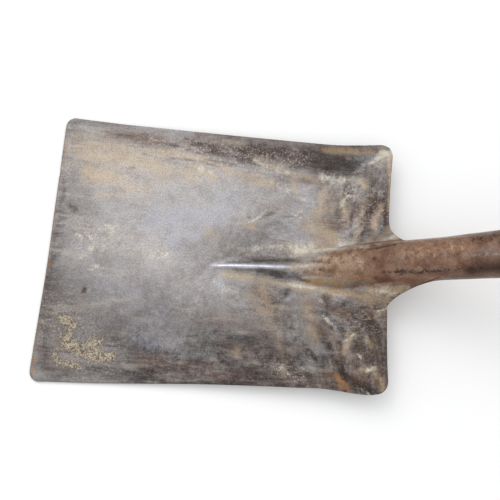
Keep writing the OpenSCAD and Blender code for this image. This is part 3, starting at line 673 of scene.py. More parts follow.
# Marks on the shank and socket: mm along the axis from its front, and mm round from the top line
TUBE_MARKS = {
    # Small dark marks on the front of the shank, dark blots along the near side, and broad darkening of the
    # upper side from 34 mm along to the far end
    "scale_and_shade": [
        (-58, 8, -36, 12, 1.6, 1.0), (-46, -13, -35, -14, 1.6, 0.75), (-34, -14, -28, -14, 3.2, 1.0),
        (-24, -15, -19, -17, 2.6, 0.9), (-16, -17, -13, -16, 2.6, 1.0), (-13, -15, -9, -16, 2.4, 0.8),
        (-6, -16, 8, -16, 2.2, 0.65), (14, -17, 34, -17, 2.2, 0.5), (-52, 0, -54, 6, 1.2, 0.5),
        (-52, -4, -53, 0, 1.2, 0.6), (-110, 1, -95, -1, 1.8, 0.8), (-108, -6, -100, -7, 1.5, 0.6),
        (34, 9, 60, 8, 9, 0.55), (60, 16, 180, 20, 8, 0.5), (90, 0, 120, -4, 10, 0.4),
        (150, 6, 185, 0, 14, 0.6),
    ],
    "rust": [
        (-90, -12, -60, -18, 4, 0.75), (-30, 8, 30, 4, 7, 0.5), (40, 0, 80, 2, 9, 0.45),
        (-16, 4, 0, 0, 6, 0.45), (100, 10, 140, -6, 9, 0.5),
    ],
    # The stroke 18 mm round to the left of the top line, from -50 to 20 mm along, is a painted rim light; the
    # others are tan marks
    "tan": [
        (-110, -8, -84, -12, 4, 0.6), (-100, -2, -70, -3, 12, 0.62), (-100, 14, -60, 13, 4, 0.8),
        (-50, 18, 20, 18, 5, 0.6), (-110, -20, -60, -24, 5, 0.6), (-30, 2, 20, 2, 10, 0.35),
    ],
    # The stroke from 30 to 60 mm along, just right of the top line, is part of the socket's painted highlight
    "cream": [
        (-66, -3, -60, -4, 1.5, 0.6), (-92, -6, -90, -8, 1.2, 0.6), (-64, -8, -64, -11, 1, 0.6),
        (30, -6, 60, -7, 2, 0.5), (-70, 14, -50, 18, 5, 0.5),
    ],
    # Painted highlights and reflections on the socket
    "painted_sheen": [
        (20, 24, 150, 24, 6, 0.5), (36, -4, 90, -5, 6, 0.7), (-30, -5, 30, -4, 4, 0.3),
        (-36, -14, 6, -15, 4.5, 0.32),
    ],
}

# Shade on the socket, mostly along its near side, measured as in TUBE_MARKS
SHADES = [
    (2, -18, 28, -18, 5, 0.5), (26, -18, 56, -17, 8, 0.95), (56, -17, 240, -18, 12, 1.0),
    (10, -24, 200, -26, 6, 0.6), (60, 4, 240, 4, 32, 0.36), (-58, 3, -34, 1, 9, 0.26),
]
# Other strokes in mm from the origin: scraped underneath, ground on top, cracked scale and pale flecks
SCRAPED = [(-120, -20, 20, 10, 46, 0.3)]
GROUND = [(112, 40, 146, 60, 22, 1), (120, -50, 146, -30, 18, 0.9), (110, 70, 144, 92, 14, 0.6)]
CRACKLED = [(40, -36, 52, -50, 16, 1), (66, -70, 74, -60, 12, 0.6), (20, 10, 60, 10, 8, 0.6)]
FLECKED = [
    (-70, 106, 66, 98, 9, 0.9), (-30, 94, 60, 86, 6, 1), (-118, 98, -84, 96, 8, 0.35),
    (-118, 14, -60, 2, 12, 0.5), (56, -93, 72, -99, 7, 0.9), (84, 70, 110, 66, 9, 0.5),
]
FLECKED_CORNER = [(-134, -60, -96, -96, 22, 0.6)]


def tone_at(x, y):
    """Tone between the places in TONES, each weighing less with distance."""
    total, weight = 0.0, 0.0
    for px, py, tone in TONES:
        near = np.exp(-((x - px) ** 2 + (y - py) ** 2) / (2 * TONE_REACH**2)) + 1e-9
        total = total + near * tone
        weight = weight + near
    return total / weight


def socket_frame(px, py, pz):
    """Distance along the socket's axis, mm round from its top line, and distance from the axis."""
    x, z = px - SHANK_X, pz - SHANK_Z
    up = -x * math.sin(LIFT) + z * math.cos(LIFT)
    r = np.hypot(py, up)
    return x * math.cos(LIFT) + z * math.sin(LIFT), np.arctan2(py, up) * r, r


def paint_blade(ob):
    """Paints the masks that the steel's material reads. Stains are looked up at places shifted a little."""
    px, py, pz = (read_vectors(ob, "co") / MM).T
    up = read_vectors(ob, "normal")[:, 2]
    warp_x, warp_y, patch = Noise(31), Noise(32), Noise(33)
    x = px + 5 * warp_x(px, py, size=16, octaves=4)
    y = py + 3.4 * warp_y(px, py, size=16, octaves=4)
    s, w, r = socket_frame(px, py, pz)
    # The socket's brown starts in ragged tongues over the front of the shank
    tongue = px - 2.8 * np.clip(-py - 7, 0, 14) - 3.0 * np.clip(py - 2, 0, 12)
    tube = 1 - ease(r, socket_r(s) + 0.6, socket_r(s) + 4.5)
    tube = tube * ease(tongue + 36 * patch(px * 0.3, py * 1.4, size=9, octaves=4), 54, 106)
    under = ease(-up, 0.0, 0.5) * (1 - tube)
    above = 1 - under
    for k, (name, marks) in enumerate(PAN_MARKS.items()):
        value = dabs(x, y, marks) * (0.8 + 0.35 * patch(px, py, k * 40, size=9, octaves=3)) * (1 - tube)
        on_tube = 0
        if name in TUBE_MARKS:
            on_tube = dabs(s + 0.4 * (x - px), w + 0.3 * (y - py), TUBE_MARKS[name])
            on_tube *= 0.8 + 0.4 * patch(s, w, k * 40, size=8, octaves=2)
        below = 0.45 * ease(patch(px, py, 300 + k * 40, size=60, octaves=4), 0.0, 0.5) * (name != "scab")
        paint(ob, name, np.clip(value * above + below * under + on_tube * tube, 0, 1))
    paint(ob, "tube", tube * (0.85 + 0.2 * patch(px, py, 700, size=7, octaves=3)))
    paint(ob, "under", under)
    paint(ob, "shade", tube * dabs(s, w + 1.5 * patch(s, w, 800, size=30), SHADES))
    paint(ob, "busy", np.maximum(0.3 + 0.7 * ease(px - 0.5 * py, -90, 80), under))
    paint(ob, "walls", (ease(np.abs(py), 66, 96) * (1 - ease(px, 84, 116)) + 0.1) * above)
    paint(ob, "rear", ease(px, 62, 100) * (1 - ease(py, 80, 100)) * above)
    # The metal was drawn out along lines that hug the shank, then the rear rim
    out = np.abs(py)
    across = soft_min(rear_edge(py) - px, 1.15 * (out - 12), 60)
    paint_vector(ob, "flow", np.stack([across, px + out, np.sign(py) * 50], 1) * MM)
    # The steel's tone, with painted sheen and painted shade in it
    tone = tone_at(x, y) + 0.10 * patch(px * 0.4, py, 900, size=14, octaves=4)
    # Below, the mouth and the flat of the pan are scraped bright by the ground
    scraped = 0.5 * (1 - ease(px - mouth_edge(py), 5, 70)) + dabs(x, y, SCRAPED)
    scraped = 0.2 + scraped * (1 + 0.5 * patch(px * 0.3, py, 1000, size=12, octaves=4))
    paint(ob, "light", np.clip(tone * above + scraped * under, 0, 1.15))
    paint(ob, "grind", dabs(px, py, GROUND) * (1 - tube))
    paint(ob, "crackle", dabs(x, y, CRACKLED) * (1 - tube))
    paint(ob, "flecked", np.clip(dabs(x, y, FLECKED) + dabs(x, y, FLECKED_CORNER), 0, 1) * above)
    # The rib's crest: polished by use, and with a near-white highlight painted along it
    crest = np.exp(-(((py - rib_y(px) - 0.4) / 1.5) ** 2)) * ease(px, -12, 2) * (1 - ease(px, 50, 66))
    paint(ob, "polish_and_highlight", crest * above * (0.75 + 0.4 * patch(px, py, 950, size=9, octaves=2)))
    paint(ob, "edge", np.exp(-(((px - mouth_edge(py) + 2) / 5) ** 2)))


# ---------------- node helpers


def srgb(r, g, b):
    def linear(c):
        c /= 255
        return c / 12.92 if c <= 0.04045 else ((c + 0.055) / 1.055) ** 2.4

    return (linear(r), linear(g), linear(b), 1.0)


class Graph:
    """Builds one material's nodes. Sizes are in mm, a value is a number or a socket, and a colour is a
    socket or a triple of sRGB values from 0 to 255."""

    def __init__(self, name):
        self.material = bpy.data.materials.new(name)
        self.material.use_nodes = True
        self.nodes = self.material.node_tree.nodes
        self.links = self.material.node_tree.links
        self.shader = self.nodes["Principled BSDF"]
        self.coords = self.nodes.new("ShaderNodeTexCoord").outputs["Object"]

    def put(self, socket, value):
        if isinstance(value, bpy.types.NodeSocket):
            self.links.new(value, socket)
        elif value is not None:
            socket.default_value = value

    def put_colour(self, socket, colour):
        self.put(socket, srgb(*colour) if isinstance(colour, tuple) else colour)

    def attribute(self, name, out="Fac"):
        node = self.nodes.new("ShaderNodeAttribute")
        node.attribute_name = name
        return node.outputs[out]

    def stretch(self, scale, turn=(0, 0, 0), vector=None):
        node = self.nodes.new("ShaderNodeMapping")
        self.put(node.inputs["Vector"], vector or self.coords)
        node.inputs["Scale"].default_value = scale
        node.inputs["Rotation"].default_value = [math.radians(a) for a in turn]
        return node.outputs["Vector"]

    def noise(self, size, detail=3.0, rough=0.55, vector=None, bend=0.0):
        node = self.nodes.new("ShaderNodeTexNoise")
        self.put(node.inputs["Vector"], vector or self.coords)
        node.inputs["Scale"].default_value = 1 / (size * MM)
        node.inputs["Detail"].default_value = detail
        node.inputs["Roughness"].default_value = rough
        node.inputs["Distortion"].default_value = bend
        return node.outputs["Fac"]

    def cells(self, size, vector=None):
        node = self.nodes.new("ShaderNodeTexVoronoi")
        self.put(node.inputs["Vector"], vector or self.coords)
        node.inputs["Scale"].default_value = 1 / (size * MM)
        return node.outputs["Distance"]

    def math(self, kind, first, *rest):
        """One operation over all the values, from the left."""
        for value in rest:
            node = self.nodes.new("ShaderNodeMath")
            node.operation = kind
            self.put(node.inputs[0], first)
            self.put(node.inputs[1], value)
            first = node.outputs[0]
        return first

    def add(self, *values):
        return self.math("ADD", *values)

    def times(self, *values):
        return self.math("MULTIPLY", *values)

    def most(self, *values):
        return self.math("MAXIMUM", *values)

    def centred(self, noise):
        return self.math("SUBTRACT", noise, 0.5)

    def span(self, value, low, high, a=0.0, b=1.0):
        """Goes smoothly from a to b as the value goes from low to high."""
        node = self.nodes.new("ShaderNodeMapRange")
        node.interpolation_type = "SMOOTHSTEP"
        for name, v in zip(("Value", "From Min", "From Max", "To Min", "To Max"), (value, low, high, a, b)):
            self.put(node.inputs[name], v)
        return node.outputs["Result"]

    def vein(self, noise, width):
        """1 along the lines where a noise is at its middle, down to 0 at a width from them."""
        node = self.nodes.new("ShaderNodeMath")
        node.operation = "ABSOLUTE"
        self.put(node.inputs[0], self.centred(noise))
        return self.span(node.outputs[0], *width, 1.0, 0.0)

    def mix(self, factor, a, b, kind="MIX"):
        node = self.nodes.new("ShaderNodeMix")
        node.data_type = "RGBA"
        node.blend_type = kind
        self.put(node.inputs["Factor"], factor)
        # A mix of colours takes them in the seventh and eighth sockets, and gives its result in the third
        self.put_colour(node.inputs[6], a)
        self.put_colour(node.inputs[7], b)
        return node.outputs[2]

    def mix_value(self, factor, a, b):
        return self.add(a, self.times(factor, self.math("SUBTRACT", b, a)))

    def cover(self, colour, mask, share, over):
        """Lays a second colour over a colour, by no more than a share where the mask is full."""
        return self.mix(self.times(mask, share), colour, over)

    def broken(self, mask, grain, soft=0.3, amount=2.0):
        """A painted mask whose edge and inside are broken up by a noise."""
        value = self.add(mask, self.times(self.centred(grain), amount))
        return self.times(self.span(value, 0.5 - soft, 0.5 + soft), self.span(mask, 0.0, 0.25))

    def stain(self, colour, name, grain, share, over, soft=0.3, amount=2.0):
        """Covers a colour where an attribute was painted, broken up by a noise."""
        return self.cover(colour, self.broken(self.attribute(name), grain, soft, amount), share, over)

    def bump(self, height, depth, normal=None):
        node = self.nodes.new("ShaderNodeBump")
        node.inputs["Strength"].default_value = 1.0
        node.inputs["Distance"].default_value = depth * MM
        self.put(node.inputs["Height"], height)
        self.put(node.inputs["Normal"], normal)
        return node.outputs["Normal"]

    def finish(self, colour, rough, metal, normal, gloss=0.5):
        self.put_colour(self.shader.inputs["Base Color"], colour)
        names = ("Roughness", "Metallic", "Normal", "Specular IOR Level")
        for name, value in zip(names, (rough, metal, normal, gloss)):
            self.put(self.shader.inputs[name], value)
        return self.material


# ---------------- materials


def pan_colour(g, noises, flow, rear):
    """Steel under brown film, clay haze, scale, crust and rust, with painted sheen, highlights and shade."""
    blend, wide = noises["blend"], noises["wide"]
    drawn = g.noise(5.5, 6, 0.62, g.stretch((1, 0.16, 1), vector=flow))
    streak = g.noise(6, 7, 0.7, g.stretch((0.15, 1, 1), (0, 0, -2.5)), 0.5)
    # The steel's tone, with painted sheen and painted shade in it
    light = g.attribute("light")
    walls = g.attribute("walls")
    for noise, mask, depth in ((wide, g.attribute("busy"), 2.1), (drawn, rear, 2.1), (streak, walls, 1.1)):
        light = g.add(light, g.times(g.centred(noise), mask, depth))
    colour = g.mix(light, (62, 58, 58), (184, 180, 178))
    film = g.mix(g.span(blend, 0.4, 0.6), (76, 58, 51), (134, 107, 92))
    colour = g.stain(colour, "brown", wide, 0.66, film, 0.5)
    colour = g.cover(colour, g.span(noises["mottle"], 0.36, 0.55, 1.0, 0.0), 0.2, (96, 78, 72))
    warm = g.noise(8, 6, 0.65, g.stretch((1, 0.2, 1), vector=flow))
    colour = g.cover(colour, g.times(g.span(warm, 0.44, 0.6), rear), 0.26, (142, 112, 90))
    drag = g.noise(7, 5, 0.65, g.stretch((0.22, 1, 1), (0, 0, 4)))
    colour = g.cover(colour, g.span(drag, 0.48, 0.66), 0.2, (200, 190, 176))
    # Painted blue-grey sheen and highlights
    colour = g.stain(colour, "painted_sheen", blend, 0.5, (176, 179, 194), 0.5)
    # Over the pan the stains are smeared front to back, and behind it they follow the forging
    smear = g.mix_value(rear, g.noise(4.5, 6, 0.7, g.stretch((0.25, 1, 1), (0, 0, -4))), blend)
    colour = g.stain(colour, "tan", smear, 0.58, (200, 178, 146), 0.5, 1.3)
    # Fire scale, and painted shade along the flanks of the rib
    colour = g.stain(colour, "scale_and_shade", smear, 0.76, (52, 42, 41), 0.4, 1.7)
    colour = g.stain(colour, "cream", blend, 0.8, (222, 214, 196))
    return g.stain(colour, "rust", blend, 0.75, (164, 121, 76))


def socket_colour(g, noises):
    """Thin brown rust over the steel of the shank and socket, with painted highlights, a painted rim light
    and painted shade.
    """
    blend, wide = noises["blend"], noises["wide"]
    brown = g.mix(g.span(noises["mottle"], 0.4, 0.6), (111, 78, 61), (143, 112, 91))
    # Painted sheen and highlights on the socket
    brown = g.stain(brown, "painted_sheen", blend, 0.5, (178, 170, 174), 0.5)
    brown = g.cover(brown, g.span(wide, 0.42, 0.58), 0.3, (154, 124, 101))
    brown = g.stain(brown, "rust", blend, 0.45, (168, 116, 76), 0.4)
    # Tan and cream marks, with a painted rim light and part of the painted highlight among them
    brown = g.stain(brown, "tan", blend, 0.65, (200, 178, 150), 0.4)
    brown = g.stain(brown, "cream", blend, 0.7, (214, 204, 190))
    # Dark marks and blots, and broad darkening towards the socket's far end
    brown = g.stain(brown, "scale_and_shade", g.noise(2.6, 5, 0.75), 0.85, (32, 22, 20), 0.35, 2.6)
    return g.cover(brown, g.attribute("shade"), 0.92, (44, 26, 22))


def forged_steel():
    g = Graph("forged_steel_finish")
    noises = {"mottle": g.noise(13, 5, 0.62), "blend": g.noise(5, 6, 0.75), "wide": g.noise(4.6, 9, 0.8)}
    speck = g.noise(2.4, 4, 0.7)
    tube, under, polish_and_highlight = g.attribute("tube"), g.attribute("under"), g.attribute("polish_and_highlight")
    colour = pan_colour(g, noises, g.attribute("flow", "Vector"), g.attribute("rear"))
    colour = g.mix(g.span(tube, 0.15, 0.8), colour, socket_colour(g, noises))
    # The worn mouth's edge is rusty
    colour = g.cover(colour, g.broken(g.times(g.attribute("edge"), 0.8), speck, 0.3), 0.4, (142, 114, 86))
    # Crust: pale threads round dark pits
    crust = g.vein(g.noise(3.2, 3, 0.6, bend=1.2), (0.02, 0.12))
    scab = g.broken(g.math("MINIMUM", g.times(g.attribute("scab"), 1.1), 1.0), noises["wide"], 0.22, 3.0)
    colour = g.cover(colour, scab, 0.72, g.mix(crust, (98, 82, 68), (218, 202, 172)))
    # Fine grains all over, and pale flecks, more of them where they were painted
    dust = g.mix(g.span(g.noise(1.1, 2, 0.6), 0.36, 0.62), (222, 221, 224), (255, 255, 255))
    colour = g.mix(1.0, colour, dust, "MULTIPLY")
    flecks = g.times(g.span(g.noise(1.5, 4, 0.75), 0.54, 0.66), g.span(tube, 0, 1, 0.26, 0.08))
    colour = g.mix(flecks, colour, g.mix(0.45, colour, (226, 208, 190)))
    bright = g.times(g.span(g.noise(1.9, 4, 0.75), 0.53, 0.62), g.attribute("flecked"))
    colour = g.cover(colour, bright, 0.6, (216, 198, 184))
    # The rib's polished crest with a painted highlight along it, grinding scratches and cracked scale
    colour = g.cover(colour, polish_and_highlight, 0.9, (226, 226, 238))
    scratch = g.noise(1.3, 2, 0.5, g.stretch((0.045, 1, 1), (0, 0, 52)))
    scratch = g.times(g.span(scratch, 0.56, 0.66), g.attribute("grind"))
    colour = g.cover(colour, scratch, 0.6, (176, 156, 136))
    crack = g.times(g.vein(g.noise(3.6, 3, 0.6, bend=0.6), (0.0, 0.035)), g.attribute("crackle"))
    colour = g.cover(colour, crack, 0.55, (190, 168, 146))
    # The underside is browner, with scrapes from front to back
    colour = g.cover(colour, under, 0.34, (92, 74, 62))
    scrape = g.span(g.noise(1.7, 3, 0.6, g.stretch((0.03, 1, 1), (0, 0, 3))), 0.54, 0.64)
    colour = g.cover(colour, g.times(scrape, under), 0.4, (164, 158, 152))
    # Loose matter is dull and not metallic
    loose = [g.broken(g.attribute(name), speck) for name in ("rust", "cream")]
    dull = g.most(*loose, scab, g.times(tube, 0.45))
    metal = g.most(g.span(dull, 0, 1, 0.6, 0.05), polish_and_highlight)
    rough = g.add(g.span(dull, 0, 1, 0.42, 0.7), g.times(g.centred(speck), 0.35), g.times(tube, -0.2))
    rough = g.mix_value(polish_and_highlight, rough, 0.16)
    normal = g.bump(g.noise(0.8, 3, 0.65), 0.05)
    normal = g.bump(speck, 0.16, normal)
    normal = g.bump(g.times(crust, scab), 0.35, normal)
    normal = g.bump(g.most(scratch, crack), 0.08, normal)
    normal = g.bump(g.span(g.noise(2.2, 2, 0.5), 0.3, 0.4), 0.12, normal)
    return g.finish(colour, rough, metal, normal, 0.22)


def wood(name, pale, deep, soiled):
    """Oiled ash: growth lines along the grain, open pores, darker and smoother where hands go."""
    g = Graph(name)
    grain = g.attribute("grain", "Vector")
    drift = g.stretch((0.05, 1, 1), vector=grain)
    # Growth rings about a heart outside the piece, wandering a little along its length
    wander = g.nodes.new("ShaderNodeTexNoise")
    g.put(wander.inputs["Vector"], g.stretch((0.12, 1, 1), vector=grain))
    wander.inputs["Scale"].default_value = 26
    bent = g.nodes.new("ShaderNodeVectorMath")
    bent.operation = "MULTIPLY_ADD"
    g.put(bent.inputs[0], wander.outputs["Color"])
    bent.inputs[1].default_value = (0.0, 0.012, 0.012)
    g.put(bent.inputs[2], g.stretch((0.02, 1, 1), vector=grain))
    heart = g.nodes.new("ShaderNodeVectorMath")
    heart.operation = "ADD"
    g.put(heart.inputs[0], bent.outputs[0])
    heart.inputs[1].default_value = (0.0, 0.013, 0.052)
    rings = g.nodes.new("ShaderNodeTexWave")
    rings.wave_type, rings.rings_direction, rings.wave_profile = "RINGS", "X", "SAW"
    g.put(rings.inputs["Vector"], heart.outputs[0])
    for socket, value in (("Scale", 78), ("Distortion", 3.0), ("Detail", 4), ("Detail Scale", 0.8)):
        rings.inputs[socket].default_value = value
    faint = g.span(g.noise(30, 3, 0.6, drift), 0.3, 0.7, 0.25, 0.8)
    ring = g.times(g.span(rings.outputs["Fac"], 0.25, 1.0), faint)
    fibre = g.noise(0.7, 4, 0.62, g.stretch((0.03, 1, 1), vector=grain))
    pores = g.span(g.noise(0.45, 2, 0.5, g.stretch((0.05, 1, 1), vector=grain)), 0.58, 0.72)
    pores = g.times(pores, g.span(ring, 0.2, 0.9, 0.25, 1.0))
    blotch = g.noise(24, 4, 0.6, drift)
    colour = g.mix(ring, pale, deep)
    colour = g.cover(colour, g.span(fibre, 0.35, 0.7), 0.4, pale)
    colour = g.cover(colour, pores, 0.55, soiled)
    colour = g.mix(g.span(blotch, 0.42, 0.68, 0.0, 0.5), colour, deep)
    weather = g.noise(38, 5, 0.68, g.stretch((0.16, 1, 1), vector=grain))
    colour = g.mix(g.span(weather, 0.46, 0.6, 0.0, 0.5), colour, (132, 112, 92))
    hands = g.attribute("hands")
    colour = g.mix(g.times(hands, g.span(blotch, 0.3, 0.7, 0.3, 0.55)), colour, soiled)
    soil = g.broken(g.attribute("soil"), g.noise(4, 5, 0.65, grain), 0.4, 0.8)
    colour = g.cover(colour, soil, 0.75, (58, 44, 36))
    dents = g.span(g.cells(17, g.stretch((0.45, 1, 1), vector=grain)), 0.05, 0.16)
    colour = g.mix(g.span(dents, 0, 1, 0.35, 0.0), colour, soiled)
    rough = g.add(g.span(hands, 0, 1, 0.56, 0.36), g.times(g.centred(fibre), 0.25))
    normal = g.bump(fibre, 0.05)
    normal = g.bump(g.math("SUBTRACT", 1.0, pores), 0.12, normal)
    normal = g.bump(g.times(ring, -1.0), 0.03, normal)
    return g.finish(colour, rough, 0.0, g.bump(dents, 0.25, normal))


def cast_iron():
    g = Graph("head_iron_finish")
    speck = g.noise(1.8, 5, 0.68)
    black = g.mix(g.span(g.noise(11, 5, 0.62), 0.35, 0.68), (40, 38, 37), (64, 60, 57))
    worn = g.broken(g.attribute("worn"), g.noise(3.2, 5, 0.7), 0.3, 0.9)
    steel = g.mix(g.span(speck, 0.35, 0.68), (112, 106, 101), (158, 152, 147))
    rust = g.mix(g.span(speck, 0.4, 0.65), (92, 58, 40), (146, 92, 56))
    rusty = g.span(g.noise(7, 6, 0.7), 0.55, 0.66)
    colour = g.mix(worn, g.cover(black, rusty, 0.8, rust), steel)
    colour = g.cover(colour, g.times(rusty, worn), 0.45, rust)
    rough = g.add(g.span(worn, 0, 1, 0.5, 0.4), g.times(g.centred(speck), 0.4), g.times(rusty, 0.16))
    normal = g.bump(g.noise(1.0, 4, 0.65), 0.09)
    normal = g.bump(g.span(g.cells(4.5), 0.08, 0.24), 0.2, normal)
    return g.finish(colour, rough, g.span(worn, 0, 1, 0.12, 0.85), g.bump(worn, 0.06, normal))


def rivet_steel():
    g = Graph("rivet_steel_finish")
    speck = g.noise(0.9, 5, 0.65)
    colour = g.mix(g.span(g.noise(3.5, 5, 0.62), 0.38, 0.62), (86, 74, 66), (146, 138, 132))
    colour = g.mix(g.span(speck, 0.5, 0.7, 0.0, 0.5), colour, (178, 172, 166))
    rust = g.span(g.noise(2.4, 5, 0.7), 0.54, 0.64)
    colour = g.cover(colour, rust, 0.7, (134, 86, 56))
    rough = g.add(g.times(speck, 0.3), g.span(rust, 0, 1, 0.3, 0.5))
    normal = g.bump(g.span(g.cells(2.4), 0.1, 0.5), 0.12, g.bump(g.noise(0.8, 3, 0.6), 0.08))
    return g.finish(colour, rough, g.span(rust, 0, 1, 0.8, 0.2), normal)


# ---------------- turned and swept parts


def axis_frame(place, direction):
    """A frame at a place whose X runs along a direction in the plane Y = 0 or along Y itself."""
    x = Vector(direction).normalized()
    y = Vector((0, 1, 0)) if abs(x.y) < 0.5 else Vector((-1, 0, 0)) * x.y
    m = Matrix((x, y, x.cross(y))).transposed().to_4x4()
    m.translation = Vector(place)
    return m


def placed(local, matrix):
    """Points of a frame as points of the part."""
    return local @ np.array(matrix.to_3x3()).T + np.array(matrix.translation)


def within(points, matrix):
    """Points of the part as points of a frame."""
    return (points - np.array(matrix.translation)) @ np.array(matrix.to_3x3())


def shaft_point(s):
    """X and Z of the shaft's centre and its slope, s mm from the front of the socket's axis."""
    s = np.asarray(s, float)
    angle = LIFT - np.clip((s - TAPER_END) / BEND_R, 0, LIFT - UPPER)
    x = SHANK_X + np.minimum(s, TAPER_END) * math.cos(LIFT) + BEND_R * (math.sin(LIFT) - np.sin(angle))
    z = SHANK_Z + np.minimum(s, TAPER_END) * math.sin(LIFT) + BEND_R * (np.cos(angle) - math.cos(LIFT))
    rest = np.maximum(s - TAPER_END - BEND_L, 0)
    return x + rest * math.cos(UPPER), z + rest * math.sin(UPPER), angle


HEAD_S = TAPER_END + BEND_L + UPPER_L
HEAD_X, HEAD_Z = (float(v) for v in shaft_point(HEAD_S)[:2])
HEAD = axis_frame((HEAD_X, 0, HEAD_Z), (math.cos(UPPER), 0, math.sin(UPPER)))


def across_head(x, y=0):
    """A frame in the head, x along the shaft and y to its left, whose own X runs to the left."""
    return axis_frame(HEAD @ Vector((x, y, 0)), (0, 1, 0))


def across_socket(s):
    """A frame on the socket's axis whose own X runs to the left."""
    return axis_frame((SHANK_X + s * math.cos(LIFT), 0, SHANK_Z + s * math.sin(LIFT)), (0, 1, 0))


def turned(maker, profile, matrix, around, ripple, seed):
    """Adds a body turned about its frame's X, from a profile of (place along X, radius).

    A profile that comes back to its start makes a ring, and any other is closed across its ends.
    """
    uneven = Noise(seed)
    a = circle(around)
    rings = []
    hollow = np.allclose(profile[0], profile[-1])
    for along_x, r in profile[:-1] if hollow else profile:
        rr = r + ripple * uneven(along_x, r * np.cos(a), r * np.sin(a), size=6, octaves=2) * min(1, r / 3)
        local = np.stack([np.full_like(a, along_x), rr * np.cos(a), rr * np.sin(a)], 1)
        rings.append(maker.add(placed(local, matrix)))
    if hollow:
        maker.tube(rings + rings[:1], flip=True)
    else:
        maker.bar(rings, flip=True)


def swept(maker, path, radii, matrix, around):
    """Adds a bar along a path of (x, y) in its frame, from its two half widths, in and across the plane."""
    d = np.gradient(path, axis=0)
    d /= np.hypot(d[:, 0], d[:, 1])[:, None]
    a = circle(around)
    rings = []
    for (x, y), (dx, dy), (wide, thick) in zip(path, d, radii):
        side = wide * np.cos(a)
        local = np.stack([x - dy * side, y + dx * side, thick * np.sin(a)], 1)
        rings.append(maker.add(placed(local, matrix)))
    maker.bar(rings, flip=True)


def dome(start, r, h):
    """Profile of a domed head that stands at start, from its foot to its top."""
    angles = np.linspace(0, math.pi / 2 - 0.06, 10)
    return [(start + h * math.sin(t), r * math.cos(t) ** 0.8) for t in angles]


def mirrored(profile):
    """The same profile at the other end of the body, run the other way."""
    return [(-a, b) for a, b in profile][::-1]


def make_shaft():
    tip, tip_end = BORE_START + 2, HEAD_S + FERRULE_DEPTH - 2 * GAP
    profile = [(tip, CONE_TIP_R), (tip, BORE_R - GAP)]
    profile += [(SOCKET_L, BORE_END_R - GAP), (SOCKET_L + GAP, BORE_END_R - GAP)]
    profile += [(SOCKET_L + GAP, SHOULDER_R), (SOCKET_L + 22, SHOULDER_R - 1.0)]
    profile += [(TAPER_END, SHAFT_R), (HEAD_S - UPPER_L, SHAFT_R), (HEAD_S, FERRULE_BORE_R - GAP)]
    profile += [(tip_end, FERRULE_BORE_END_R - GAP), (tip_end, CONE_TIP_R)]
    maker = MeshMaker()
    uneven = Noise(41)
    a = circle(96)
    rings, grain = [], []
    for s, r in dense(filleted(profile, 1.2, 4), 2.2):
        x, z, angle = (float(v) for v in shaft_point(s))
        shown = ease(s, SOCKET_L, SOCKET_L + 6) * (1 - ease(s, HEAD_S - 6, HEAD_S))
        slow = 0.28 * uneven(s * 0.35, r * np.cos(a), r * np.sin(a), size=15, octaves=2)
        fine = 0.05 * uneven(s * 0.1, r * np.cos(a), r * np.sin(a), size=1.6)
        rr = r + shown * (slow + fine) * min(1, r / 5)
        side, up = rr * np.sin(a), rr * np.cos(a)
        rings.append(maker.add(np.stack([x - up * math.sin(angle), side, z + up * math.cos(angle)], 1)))
        grain.append(np.stack([np.full_like(a, s), side, up], 1))
    maker.bar(rings)
    ob = maker.build("shaft_finish")
    grain = np.concatenate(grain + [[[tip, 0, 0], [HEAD_S + FERRULE_DEPTH, 0, 0]]])
    paint_vector(ob, "grain", grain * MM)
    s = grain[:, 0]
    paint(ob, "hands", dabs(s, 0 * s, [(330, 0, 400, 0, 45, 0.8), (HEAD_S - 30, 0, HEAD_S, 0, 40, 0.7)]))
    paint(ob, "soil", dabs(s, 0 * s, [(SOCKET_L, 0, SOCKET_L + 8, 0, 22, 1.0)]))
    return ob


def make_grip():
    half = GRIP_L / 2 - GAP
    t = np.linspace(-1, 1, 41)
    body = np.stack([t * half, GRIP_END_R + (GRIP_R - GRIP_END_R) * np.cos(t * math.pi / 2)], 1)
    # The ends' corners are worn round
    body[[0, -1], 1] -= 0.9
    body[[1, -2], 1] -= 0.15
    hole = ROD_R + PIN_GAP
    profile = np.r_[[[-half, hole]], body, [[half, hole], [-half, hole]]]
    maker = MeshMaker()
    frame_y = across_head(GRIP_X)
    turned(maker, dense(profile, 1.5), frame_y, 72, 0.22, 43)
    ob = maker.build("grip_finish")
    local = within(np.concatenate(maker.points), frame_y)
    paint_vector(ob, "grain", local * MM)
    paint(ob, "hands", 0.9 - 0.5 * ease(np.abs(local[:, 0]), 20, 40))
    paint(ob, "soil", ease(np.abs(local[:, 0]), 37, 44))
    return ob


def arm_path(side):
    """The middle line of one arm of the fork: a slanting part, a bend, and a part along the shaft."""
    slant_l = (ARM_Y - ARM_ROOT_Y - ARM_BEND_R * (1 - math.cos(ARM_ANGLE))) / math.sin(ARM_ANGLE)
    run = np.array([slant_l * math.cos(ARM_ANGLE), slant_l * math.sin(ARM_ANGLE)])
    end_x = FERRULE_L + run[0] + ARM_BEND_R * math.sin(ARM_ANGLE)
    t = np.linspace(0, 0.96, 14)[:, None]
    b = np.linspace(ARM_ANGLE, 0, 20)
    turn = np.stack([end_x - ARM_BEND_R * np.sin(b), ARM_Y - ARM_BEND_R * (1 - np.cos(b))], 1)
    x = end_x + np.linspace(0.08, 1, 16) * (GRIP_X - end_x)
    path = np.r_[(FERRULE_L, ARM_ROOT_Y) + t * run, turn, np.stack([x, np.full_like(x, ARM_Y)], 1)]
    return path * (1, side)


